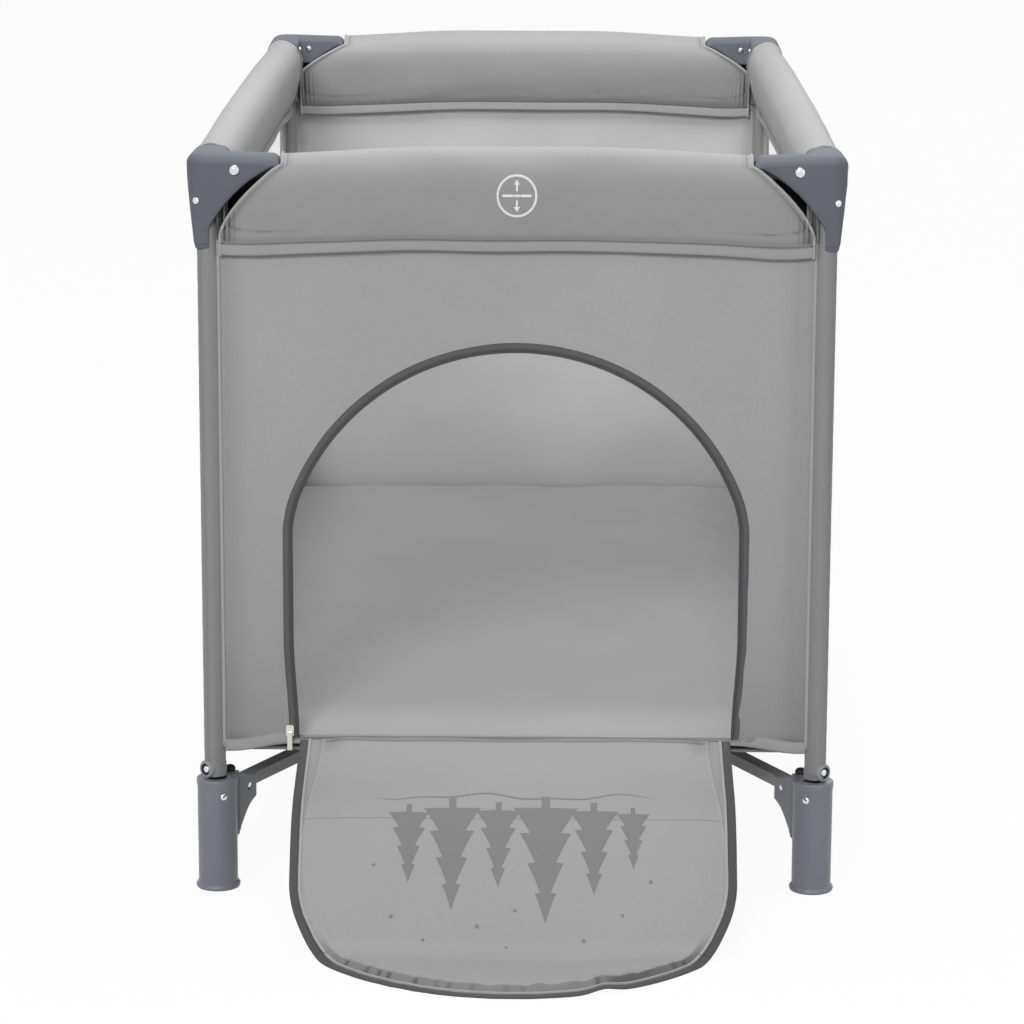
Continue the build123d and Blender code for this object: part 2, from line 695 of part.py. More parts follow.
UPPER_LEAN = math.radians(FLAP_UPPER_LEAN)
MIDDLE_LEAN = math.radians(FLAP_MIDDLE_LEAN)
FLAP_HALF_W = DOOR_W / 2 - FLAP_GAP
FLAP_L = SPRING_Z + ARCH_RISE - FLAP_GAP - HINGE_Z
FLAT_Z = FLAP_CLEAR + FLAP_T / 2
KNEE_Y = HINGE_Y - FLAP_UPPER_L * math.sin(UPPER_LEAN)
KNEE_Z = HINGE_Z - FLAP_UPPER_L * math.cos(UPPER_LEAN)
MIDDLE_L = (KNEE_Z - FLAT_Z) / math.cos(MIDDLE_LEAN)
LOW_KNEE_Y = KNEE_Y - MIDDLE_L * math.sin(MIDDLE_LEAN)


def panel(start, lean, length, round_ends=()):
    """Flap panel over the whole width, leaving a place (y, z) at a lean from straight down."""
    side = Plane(origin=(-FLAP_HALF_W, *start), x_dir=(0, -math.sin(lean), -math.cos(lean)), z_dir=(1, 0, 0))
    with BuildPart() as piece:
        with BuildSketch(side):
            with Locations((length / 2, 0)):
                Rectangle(length, FLAP_T)
            for end in round_ends:
                with Locations((end * length, 0)):
                    Circle(FLAP_T / 2)
        extrude(amount=2 * FLAP_HALF_W)
    return piece.part


def trim_to_arch(piece, start, lean, along):
    """Cut a panel to the door's arch, as it fills the door when the flap is shut.

    The panel starts at a place (y, z), a distance along the flap from its hinge line.
    """
    outline = arch_line(FLAP_HALF_W, ARCH_RISE - FLAP_GAP)
    back = HINGE_Z + along
    ground = (0, start[0] + back * math.sin(lean), start[1] + back * math.cos(lean))
    with BuildPart() as trimmed:
        add(piece)
        with BuildSketch(Plane(origin=ground, x_dir=(1, 0, 0), z_dir=(0, math.cos(lean), -math.sin(lean)))):
            with BuildLine():
                add(outline)
            make_face()
        extrude(amount=FLAP_T, both=True, mode=Mode.INTERSECT)
    return trimmed.part


def build_flap():
    """Write the flap's three panels: out over the sill, down to the floor, and flat on it."""
    clear = FLAP_T / 2 + FIT
    knee = (KNEE_Y, KNEE_Z)
    low_knee = FLAP_UPPER_L + MIDDLE_L
    lying = (LOW_KNEE_Y - clear, FLAT_Z)
    upper = panel((HINGE_Y, HINGE_Z), UPPER_LEAN, FLAP_UPPER_L - clear, (0,))
    middle = panel(knee, MIDDLE_LEAN, MIDDLE_L, (0, 1))
    tip = panel(lying, math.pi / 2, FLAP_L - low_knee - clear)
    save(upper, "flap_upper")
    save(trim_to_arch(middle, knee, MIDDLE_LEAN, FLAP_UPPER_L), "flap_middle")
    save(trim_to_arch(tip, lying, math.pi / 2, low_knee + clear), "flap_tip")


SLIDER_X = -(DOOR_W + TAPE_W) / 2
SLIDER_FRONT = -LEG_Y - WALL_OUT - TAPE_T - SLIDER_T
PULL_Y = SLIDER_FRONT - PULL_EYE_R - FIT
PULL_Z = SLIDER_Z + PULL_DROP


def build_zip_slider():
    """Write the slider at the foot of the zip, and the pull that swings on it."""
    with BuildPart() as slider:
        with BuildSketch(Plane.XZ.offset(-SLIDER_FRONT)):
            with Locations((SLIDER_X, SLIDER_Z + SLIDER_H / 2)):
                RectangleRounded(SLIDER_W, SLIDER_H, 2.0)
        extrude(amount=-SLIDER_T)
    save(slider.part, "zip_slider")
    with BuildPart() as pull:
        with BuildSketch(Plane.YZ.offset(SLIDER_X - PULL_W / 2)):
            with Locations((PULL_Y, PULL_Z)):
                Circle(PULL_EYE_R)
                Circle(PULL_EYE_R / 2, mode=Mode.SUBTRACT)
            with Locations((PULL_Y - PULL_EYE_R + PULL_T / 2, PULL_Z - PULL_EYE_R / 2 - PULL_L / 2)):
                Rectangle(PULL_T, PULL_L)
        extrude(amount=PULL_W)
    save(pull.part, "zip_pull")


def main():
    """Build every piece and write it to parts/."""
    os.makedirs("parts", exist_ok=True)
    masters = {
        "leg_tube": leg_tube(),
        "corner_bracket": corner_bracket(),
        "bracket_rivets": bracket_rivets(),
        "foot_boot": foot_boot(),
        "foot_fasteners": foot_fasteners(),
    }
    for name, (sx, sy) in CORNERS.items():
        for label, master in masters.items():
            save(at_corner(master, sx, sy), f"{label}_{name}")
    build_rails()
    build_base()
    build_fabric()
    build_flap()
    build_zip_slider()


main()
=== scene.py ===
"""Visual model of a folding playpen with a crawl-out door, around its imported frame.

Every new piece is a surface worked out with numpy: a function of two parameters on a
grid, or a profile carried along a path. Lengths are in metres. x runs to the right, y to
the back and z up, and the door faces -y.
"""

import logging
import math
from collections.abc import Callable
from dataclasses import dataclass, field
from enum import Enum

import bmesh
import bpy
import numpy as np
from mathutils import Matrix, Vector


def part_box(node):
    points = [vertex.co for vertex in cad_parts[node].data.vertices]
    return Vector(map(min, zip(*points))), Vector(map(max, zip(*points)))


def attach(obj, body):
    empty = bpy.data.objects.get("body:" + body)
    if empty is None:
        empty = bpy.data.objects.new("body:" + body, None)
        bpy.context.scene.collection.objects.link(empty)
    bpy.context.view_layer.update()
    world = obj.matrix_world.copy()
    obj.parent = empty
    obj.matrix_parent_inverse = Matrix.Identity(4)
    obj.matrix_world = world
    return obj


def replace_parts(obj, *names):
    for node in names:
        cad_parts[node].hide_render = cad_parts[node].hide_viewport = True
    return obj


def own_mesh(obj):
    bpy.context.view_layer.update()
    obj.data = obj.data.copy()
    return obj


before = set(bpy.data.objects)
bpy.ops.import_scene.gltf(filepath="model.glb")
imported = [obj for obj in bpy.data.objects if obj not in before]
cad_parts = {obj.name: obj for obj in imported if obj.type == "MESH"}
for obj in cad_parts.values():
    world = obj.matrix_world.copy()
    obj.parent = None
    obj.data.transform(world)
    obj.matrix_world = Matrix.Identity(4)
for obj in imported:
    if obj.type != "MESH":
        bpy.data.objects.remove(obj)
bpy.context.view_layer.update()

logging.basicConfig(level=logging.INFO, format="%(message)s")
log = logging.getLogger("playpen")

Array = np.ndarray
X, Y, Z = np.eye(3)
UP_FRONT = np.array([0.0, -1.0, 1.0])
WHITE = (1, 1, 1, 1)
TURN = 2 * np.pi
WELD = 1e-5  # points nearer than this are one


def span(node: str) -> tuple[Array, Array]:
    """Lowest and highest corner of a CAD node's box."""
    low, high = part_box(node)
    return np.array(low), np.array(high)


@dataclass(frozen=True)
class Stance:
    """Where the legs, rails and walls stand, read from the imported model."""

    leg_x: float
    leg_y: float
    leg_r: float
    top: float
    rail_z: float
    cover_low: float
    cover_top: float
    cover_out: float
    cover_in: float
    hem: float
    eave: float
    wall_out: float
    wall_in: float
    wall_end: float
    side_end: float

    @classmethod
    def read(cls) -> "Stance":
        """Reads the sizes from the boxes of the CAD nodes.

        Returns:
            The pen's stance.
        """
        leg_low, leg_high = span("leg_tube_fr")
        rail_low, rail_high = span("rail_front_l")
        cover_low, cover_high = span("cover_front")
        wall_low, wall_high = span("wall_front")
        leg_y = -(leg_low[1] + leg_high[1]) / 2
        return cls(
            leg_x=(leg_low[0] + leg_high[0]) / 2,
            leg_y=leg_y,
            leg_r=(leg_high[0] - leg_low[0]) / 2,
            top=span("corner_bracket_fr")[1][2],
            rail_z=(rail_low[2] + rail_high[2]) / 2,
            cover_low=cover_low[2],
            cover_top=cover_high[2],
            cover_out=-leg_y - cover_low[1],
            cover_in=leg_y + cover_high[1],
            hem=wall_low[2],
            eave=wall_high[2],
            wall_out=-leg_y - wall_low[1],
            wall_in=-leg_y - wall_high[1],
            wall_end=wall_high[0],
            side_end=span("wall_left")[1][1],
        )


STANCE = Stance.read()


def ease(value: Array | float, low: float, high: float) -> Array:
    """Smooth step: 0 before low, 1 after high, and 3t^2 - 2t^3 between."""
    share = np.clip((np.asarray(value, float) - low) / (high - low), 0, 1)
    return share * share * (3 - 2 * share)


def bell(value: Array, middle: float, width: float) -> Array:
    """Bell curve exp(-((value - middle) / width)^2)."""
    return np.exp(-(((np.asarray(value, float) - middle) / width) ** 2))


def ripple(first: Array, second: Array, length: float, seed: int, waves: int = 6) -> Array:
    """Uneven ripples: a sum of plane waves in seeded directions, about -1 to 1.

    Args:
        first: first coordinate.
        second: second coordinate.
        length: usual length of a wave.
        seed: seed of the directions, lengths and phases.
        waves: number of plane waves.

    Returns:
        The ripples' height at each place.
    """
    draw = np.random.default_rng(seed)
    turn = draw.uniform(0, np.pi, waves)[:, None]
    pitch = TURN / (length * draw.uniform(0.6, 1.7, waves)[:, None])
    phase = draw.uniform(0, TURN, waves)[:, None]
    first, second = np.broadcast_arrays(first, second)
    a, b = first.reshape(1, -1), second.reshape(1, -1)
    total = np.sin(pitch * (a * np.cos(turn) + b * np.sin(turn)) + phase).sum(0)
    return (total / math.sqrt(waves) / 1.4).reshape(first.shape)


def unit(vectors: Array) -> Array:
    """Vectors on the last axis divided by their lengths."""
    return vectors / np.linalg.norm(vectors, axis=-1, keepdims=True)


def run_of(points: Array) -> Array:
    """Length along a line at each of its points."""
    return np.concatenate([[0], np.cumsum(np.linalg.norm(np.diff(points, axis=0), axis=1))])


@dataclass
class Patch:
    """One grid of points of a piece, rows x columns x 3.

    uv is its map in metres, measured along the grid when None. tint darkens or lightens
    the cloth from point to point, mostly as painted shade and light. With ring, the columns
    close into a ring and the faces look away from each row's middle, or towards it with
    hollow. Otherwise they look to the side that facing points to.
    """

    points: Array
    uv: Array | None = None
    tint: Array | float = 1.0
    finish: int = 0
    ring: bool = False
    hollow: bool = False
    facing: Array | None = None

    def corners(self) -> tuple[Array, Array]:
        """Numbers of each face's four corners.

        Returns:
            Their row numbers and their column numbers, before a ring closes.
        """
        rows, columns = self.points.shape[:2]
        last = columns if self.ring else columns - 1
        r, c = (n.ravel() for n in np.meshgrid(np.arange(rows - 1), np.arange(last), indexing="ij"))
        order = slice(None, None, -1 if self.turned() else 1)
        return np.stack((r, r, r + 1, r + 1)[order], 1), np.stack((c, c + 1, c + 1, c)[order], 1)

    def turned(self) -> bool:
        """Compares the faces' way in the grid's own order with the way that they should look.

        Returns:
            Whether they look the wrong way.
        """
        p = self.points
        across = (np.roll(p, -1, 1) - p)[:-1] if self.ring else np.diff(p, axis=1)[:-1]
        normal = np.cross(across, np.diff(p, axis=0)[:, : across.shape[1]])
        if self.ring:
            away = (normal * (p[:-1] - p.mean(1, keepdims=True)[:-1])).sum()
            return bool((away < 0) != self.hollow)
        return bool((normal.sum((0, 1)) * self.facing).sum() < 0)

    def map(self) -> Array:
        """The uv map, with one more column for a ring.

        Returns:
            Rows x columns x 2, in metres.
        """
        if self.uv is not None:
            return self.uv
        closed = np.concatenate([self.points, self.points[:, :1]], 1) if self.ring else self.points
        across = np.linalg.norm(np.diff(closed, axis=1), axis=2).mean(0)
        down = np.linalg.norm(np.diff(closed, axis=0), axis=2).mean(1)
        u, v = (np.concatenate([[0], np.cumsum(steps)]) for steps in (across, down))
        return np.stack(np.meshgrid(u, v), -1)


def weld(mesh: bpy.types.Mesh, distance: float) -> None:
    """Makes points nearer than a distance one, which closes seams and poles.

    Args:
        mesh: the mesh, which is changed.
        distance: the distance.
    """
    work = bmesh.new()
    work.from_mesh(mesh)
    bmesh.ops.remove_doubles(work, verts=work.verts, dist=distance)
    work.to_mesh(mesh)
    work.free()


def cloth_mesh(name: str, points: Array, faces: Array, uv: Array, tint: Array) -> bpy.types.Mesh:
    """Mesh with the uv map and the tint that cloth is dressed by.

    Args:
        name: name of the mesh.
        points: n x 3 points.
        faces: m x 4 numbers of points.
        uv: place on the map of each face's corners.
        tint: factor on the cloth's colour at each point.

    Returns:
        The mesh.
    """
    mesh = bpy.data.meshes.new(name)
    mesh.from_pydata(points, [], faces)
    mesh.uv_layers.new(name="cloth").uv.foreach_set("vector", uv.astype(np.float32).ravel())
    mesh.attributes.new("tint", "FLOAT", "POINT").data.foreach_set("value", tint.astype(np.float32))
    return mesh


def add_piece(mesh: bpy.types.Mesh, body: str) -> bpy.types.Object:
    """Puts a mesh in the scene at the origin and lets it ride on a body.

    Args:
        mesh: the piece's mesh, which has its name.
        body: CAD body that it rides on.

    Returns:
        The new piece.
    """
    piece = bpy.data.objects.new(mesh.name, mesh)
    bpy.context.scene.collection.objects.link(piece)
    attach(piece, body)
    log.info("%s: %d faces on %s", mesh.name, len(mesh.polygons), body)
    return piece


def make_piece(
    name: str,
    patches: list[Patch],
    finishes: list["Finish"],
    body: str,
    crease: float | None = None,
) -> bpy.types.Object:
    """Joins grids into one smooth mesh and lets it ride on a body.

    Args:
        name: name of the piece.
        patches: its grids.
        finishes: its finishes, in the order of the patches' finish numbers.
        body: CAD body that it rides on.
        crease: angle in degrees above which an edge stays sharp, or None.

    Returns:
        The new piece.
    """
    faces, maps, finish_of, start = [], [], [], 0
    for patch in patches:
        rows, columns = patch.points.shape[:2]
        r, c = patch.corners()
        faces.append(start + r * columns + c % columns)
        maps.append(patch.map()[r, c])
        finish_of.append(np.full(len(r), patch.finish, np.int32))
        start += rows * columns
    points = np.concatenate([patch.points.reshape(-1, 3) for patch in patches])
    tints = [np.broadcast_to(patch.tint, patch.points.shape[:2]).ravel() for patch in patches]
    mesh = cloth_mesh(name, points, np.concatenate(faces), np.concatenate(maps), np.concatenate(tints))
    mesh.polygons.foreach_set("material_index", np.concatenate(finish_of))
    for finish in finishes:
        mesh.materials.append(finish.material())
    weld(mesh, WELD)
    mesh.polygons.foreach_set("use_smooth", np.ones(len(mesh.polygons), bool))
    if crease is not None:
        mesh.set_sharp_from_angle(angle=math.radians(crease))
    return add_piece(mesh, body)


def solidify(piece: bpy.types.Object, thickness: float) -> None:
    """Gives a cloth sheet its thickness, behind the side that its faces look to.

    The rim's edges are sharp, so the sheet's face keeps its own shading up to it.

    Args:
        piece: the sheet.
        thickness: how thick it is.
    """
    mesh = piece.data
    edge_of = np.zeros(len(mesh.loops), int)
    mesh.loops.foreach_get("edge_index", edge_of)
    mesh.edges.foreach_set("use_edge_sharp", np.bincount(edge_of, minlength=len(mesh.edges)) == 1)
    wall = piece.modifiers.new("thickness", "SOLIDIFY")
    wall.thickness, wall.offset, wall.use_even_offset = thickness, -1, False


def draw_in(piece: bpy.types.Object) -> None:
    """Gives a piece its own copy of its mesh."""
    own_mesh(piece)


def carry(path: Array, profile: Array, up: Array) -> Array:
    """Carries a profile along a path.

    Each row is path + across * (up x direction) + rise * up, where (across, rise) runs
    round the profile and up is made square to the path's direction.

    Args:
        path: n x 3 points of the path.
        profile: m x 2 or n x m x 2, across and rise round the profile.
        up: direction of rise.

    Returns:
        Grid of points, a row for each place on the path, for a ring patch.
    """
    way = unit(np.gradient(path, axis=0))
    up = unit(up - (up * way).sum(1, keepdims=True) * way)
    side = np.cross(up, way)
    shape = np.broadcast_to(profile, (len(path), *profile.shape[-2:]))
    return path[:, None] + shape[..., :1] * side[:, None] + shape[..., 1:] * up[:, None]


def closed_ends(grid: Array) -> Array:
    """Adds a row at each end of a ring grid, where the section runs together to a point."""
    first, last = (np.repeat(grid[i].mean(0)[None, None], grid.shape[1], 1) for i in (0, -1))
    return np.concatenate([first, grid, last])


def round_profile(across: float, rise: float, sides: int = 12, power: float = 1.0) -> Array:
    """Closed oval: across * cos and rise * sin of an angle, each to a power.

    Args:
        across: half its width.
        rise: half its height.
        sides: number of points.
        power: below 1 for a squarer shape.

    Returns:
        sides x 2 points.
    """
    angle = np.linspace(0, TURN, sides, endpoint=False)
    round_part = np.stack([np.cos(angle), np.sin(angle)], 1)
    return [across, rise] * np.sign(round_part) * np.abs(round_part) ** power


def lathe(profile: Array, centre: Array, axis: Array, sides: int) -> Array:
    """Turns a profile about an axis.

    Args:
        profile: n x 2, distance from the axis and height along it.
        centre: where the axis starts.
        axis: its direction.
        sides: number of points round it.

    Returns:
        Grid of points for a ring patch.
    """
    side = unit(np.cross(axis, Z if abs(axis[2]) < 0.9 else X))
    angle = np.linspace(0, TURN, sides, endpoint=False)[:, None]
    ring = np.cos(angle) * side + np.sin(angle) * np.cross(axis, side)
    return centre + profile[:, None, :1] * ring[None] + profile[:, None, 1:] * axis


class Graph:
    """Nodes of a material or world, with short ways to add and join them."""

    def __init__(self, block: bpy.types.Material | bpy.types.World) -> None:
        """Turns on the block's nodes.

        Args:
            block: the material or world.
        """
        block.use_nodes = True
        self.block, self.tree = block, block.node_tree
        self.shader = self.tree.nodes.get("Principled BSDF")

    def add(self, kind: str, sockets: dict, **settings: object) -> bpy.types.Node:
        """Adds a node.

        Args:
            kind: type of the node, without the word in front.
            sockets: what goes into each input, a number, colour or output.
            **settings: properties of the node.

        Returns:
            The node.
        """
        node = self.tree.nodes.new(f"ShaderNode{kind}")
        for key, value in settings.items():
            setattr(node, key, value)
        self.feed(node, sockets)
        return node

    def feed(self, node: bpy.types.Node, sockets: dict) -> None:
        """Joins outputs to a node's inputs, or sets the inputs.

        Args:
            node: the node.
            sockets: an output or a value for each input.
        """
        for key, value in sockets.items():
            if isinstance(value, bpy.types.NodeSocket):
                self.tree.links.new(value, node.inputs[key])
            else:
                node.inputs[key].default_value = value

    def math(self, operation: str, *values: object) -> bpy.types.NodeSocket:
        """Adds a math node and returns its output."""
        return self.add("Math", dict(enumerate(values)), operation=operation).outputs[0]

    def place(self, output: str) -> bpy.types.NodeSocket:
        """Returns the Object or UV output of a texture coordinate node."""
        return self.add("TexCoord", {}).outputs[output]

    def noise(self, where: bpy.types.NodeSocket, scale: float, detail: float) -> bpy.types.NodeSocket:
        """Adds a noise and returns its value."""
        return self.add("TexNoise", {"Vector": where, "Scale": scale, "Detail": detail}).outputs[0]

    def between(self, value: bpy.types.NodeSocket, *ends: float) -> bpy.types.NodeSocket:
        """Maps the first two ends to the last two and returns the result."""
        return self.add("MapRange", dict(enumerate((value, *ends)))).outputs[0]

    def mix(self, share: object, first: object, second: object) -> bpy.types.NodeSocket:
        """Mixes two colours by a share and returns the result."""
        return self.add("Mix", {0: share, 6: first, 7: second}, data_type="RGBA").outputs[2]

    def scaled(self, colour: object, factor: bpy.types.NodeSocket) -> bpy.types.NodeSocket:
        """Multiplies a colour by a factor and returns the result."""
        return self.add("VectorMath", {0: colour, 3: factor}, operation="SCALE").outputs[0]

    def bump(self, height: object, distance: float, strength: float = 1.0) -> None:
        """Adds relief to the shader, under any that it already has.

        Args:
            height: output with the height, 0 to 1.
            distance: real height of 1.
            strength: share of the relief.
        """
        sockets = {"Height": height, "Distance": distance, "Strength": strength}
        if self.shader.inputs["Normal"].links:
            sockets["Normal"] = self.shader.inputs["Normal"].links[0].from_socket
        self.feed(self.shader, {"Normal": self.add("Bump", sockets).outputs[0]})


def linear(tone: tuple[float, ...], factor: float = 1.0, lift: float = 0.0) -> Array:
    """A shown colour as the shader's linear one, times a factor, plus a lift.

    Args:
        tone: red, green and blue from 0 to 1, as shown.
        factor: what the linear colour is multiplied by.
        lift: what is added to it.

    Returns:
        Linear red, green and blue.
    """
    shown = np.array(tone)
    flat = np.where(shown <= 0.04045, shown / 12.92, ((shown + 0.055) / 1.055) ** 2.4)
    return flat * factor + lift


@dataclass(frozen=True)
class Cloth:
    """Woven cloth: threads over and under in both directions, on the piece's uv map."""

    name: str
    tone: tuple[float, float, float]
    thread: float = 0.0009
    drift: float = 0.03
    rough: float = 0.62
    sheen: float = 0.12
    relief: float = 0.00012
    crumple: float = 0.0005
    shine: float = 0.35

    def material(self) -> bpy.types.Material:
        """Builds the finish: colour = tone * (1 + drift + weave + fibres) * tint, and tint carries painted
        shade and light.

        Returns:
            The material.
        """
        graph = Graph(bpy.data.materials.new(self.name))
        uv, where = graph.place("UV"), graph.place("Object")
        ways = graph.add("SeparateXYZ", {0: uv}).outputs
        threads = (graph.math("MULTIPLY", ways[i], math.pi / self.thread) for i in (0, 1))
        weave = graph.math("MULTIPLY", *(graph.math("SINE", thread) for thread in threads))
        fibres = graph.noise(uv, 420.0, 2.0)
        light = graph.between(graph.noise(where, 5.0, 3.0), 0.3, 0.7, 1 - self.drift, 1 + self.drift)
        light = graph.math("ADD", light, graph.math("MULTIPLY", weave, 0.018))
        light = graph.math("ADD", light, graph.between(fibres, 0.3, 0.7, -0.022, 0.022))
        tint = graph.add("Attribute", {}, attribute_name="tint").outputs["Fac"]
        sockets = {
            "Base Color": graph.scaled(graph.scaled(linear(self.tone), light), tint),
            "Roughness": graph.between(fibres, 0.2, 0.8, self.rough - 0.05, self.rough + 0.06),
            "Specular IOR Level": self.shine,
            "Sheen Weight": self.sheen,
            "Sheen Roughness": 0.4,
        }
        graph.feed(graph.shader, sockets)
        graph.bump(graph.math("ADD", graph.math("MULTIPLY", weave, 0.5), fibres), self.relief)
        graph.bump(graph.noise(where, 38.0, 3.0), self.crumple, 0.55)
        return graph.block


@dataclass(frozen=True)
class Hard:
    """Plastic, rubber, paint or metal: soft clouds of colour and a fine grain.

    clouds and grain are the scales of the two noises, spread is how far the colour drifts,
    and bare is 1 for bare metal. The high edges are made paler by a share: a painted
    highlight where light catches them.
    """

    name: str
    tone: tuple[float, float, float]
    rough: float = 0.42
    bare: float = 0.0
    clouds: float = 22.0
    grain: float = 1500.0
    relief: float = 0.00005
    spread: float = 0.06
    uneven: float = 0.05
    smooth: float = 0.04
    shine: float = 0.45
    edge_highlight: float = 0.35

    def material(self) -> bpy.types.Material:
        """Builds the finish.

        Returns:
            The material.
        """
        graph = Graph(bpy.data.materials.new(self.name))
        where = graph.place("Object")
        clouds = graph.noise(where, self.clouds, 3.0)
        tones = ((*linear(self.tone, 1 + way * self.spread), 1) for way in (-1, 1))
        base = graph.mix(clouds, *tones)
        # Painted highlight: edges picked out by pointiness are made paler.
        if self.edge_highlight:
            edge = graph.add("NewGeometry", {}).outputs["Pointiness"]
            edge_light = graph.between(edge, 0.5, 0.56, 0.0, self.edge_highlight)
            base = graph.mix(edge_light, base, (*linear(self.tone, 1.35, 0.01), 1))
        sockets = {
            "Base Color": base,
            "Metallic": self.bare,
            "Roughness": graph.between(
                clouds, 0.3, 0.7, self.rough - self.smooth, self.rough + self.uneven
            ),
            "Specular IOR Level": self.shine,
        }
        graph.feed(graph.shader, sockets)
        graph.bump(graph.noise(where, self.grain, 2.0), self.relief)
        return graph.block


def metal(name: str, tone: tuple[float, float, float], bare: float, rough: float) -> Hard:
    """Bare or painted metal, with faint drawing lines."""
    noises = {"clouds": 30.0, "grain": 900.0, "relief": 0.00002, "spread": 0.1}
    return Hard(name, tone, rough, bare, **noises, uneven=0.08, smooth=0.05, shine=0.5, edge_highlight=0.0)


class Finish(Enum):
    """The pen's finishes."""

    WALL = Cloth("wall_cloth", (0.69, 0.69, 0.692))
    # Same cloth as the other walls, painted lighter: painted light on the back wall's inside face.
    BACK = Cloth("back_wall_cloth_painted_light", (0.79, 0.79, 0.79))
    COVER = Cloth("padded_cover_cloth", (0.668, 0.668, 0.67), drift=0.02)
    SLEEVE = Cloth("leg_sleeve_cloth", (0.565, 0.565, 0.57), rough=0.42, shine=0.5)
    PIPING = Cloth("piping_cloth", (0.70, 0.70, 0.70), thread=0.0006, crumple=0.0)
    MATTRESS = Cloth("mattress_cloth", (0.618, 0.618, 0.621), drift=0.04, crumple=0.0008)
    FLAP = Cloth("door_flap_cloth", (0.668, 0.668, 0.67))
    BINDING = Cloth("dark_binding", (0.305, 0.305, 0.313), thread=0.0012, crumple=0.0)
    TAPE = Cloth("zip_tape_weave", (0.365, 0.365, 0.373), thread=0.0016, crumple=0.0, relief=0.0002)
    NET = Cloth("net_yarn", (0.80, 0.80, 0.805), thread=0.0004, crumple=0.0, relief=0.00003)
    # Near-black cloth inside the covers' ends: painted shade for the shadowed hollow.
    LINING = Cloth("lining_painted_shade", (0.07, 0.07, 0.075), sheen=0.0, shine=0.1)
    FLOOR_CLOTH = Cloth("floor_cloth", (0.52, 0.52, 0.525))
    INK = Cloth("door_print", (0.535, 0.53, 0.53), sheen=0.0)
    COIL = Hard("zip_coil", (0.25, 0.25, 0.26), 0.35)
    LABEL = Hard("label_ink", (0.98, 0.98, 0.98), 0.55)
    SHELL = Hard("shell_plastic", (0.468, 0.474, 0.508), 0.36)
    BOOT = Hard("boot_plastic", (0.505, 0.517, 0.556), 0.38)
    LATCH = Hard("latch_plastic", (0.36, 0.37, 0.39))
    BUTTON = Hard("button_plastic", (0.62, 0.63, 0.65))
    RUBBER = Hard("black_rubber", (0.10, 0.10, 0.105), 0.5)
    WASHER = Hard("grey_washer", (0.58, 0.585, 0.60), 0.5)
    CHROME = metal("chrome", (0.86, 0.87, 0.88), 1.0, 0.14)
    ZINC = metal("zip_metal", (0.50, 0.49, 0.43), 0.55, 0.34)
    RAIL = metal("rail_paint", (0.50, 0.51, 0.53), 0.0, 0.4)
    BASE = metal("base_paint", (0.55, 0.55, 0.56), 0.0, 0.38)

    def material(self) -> bpy.types.Material:
        """The finish's material, built the first time."""
        return bpy.data.materials.get(self.value.name) or self.value.material()


@dataclass(frozen=True)
class Corner:
    """One leg's place: its short name and its sign on x and y."""

    tag: str
    sx: int
    sy: int

    @property
    def sign(self) -> Array:
        """The signs as a flat vector, which points outwards."""
        return np.array([self.sx, self.sy, 0.0])

    @property
    def axis(self) -> Array:
        """The point on the leg's axis that is on the floor."""
        return self.sign * [STANCE.leg_x, STANCE.leg_y, 0]

    @property
    def body(self) -> str:
        """The body of the leg."""
        return f"leg_{self.tag}"


CORNERS = [Corner("fl", -1, -1), Corner("fr", 1, -1), Corner("bl", -1, 1), Corner("br", 1, 1)]


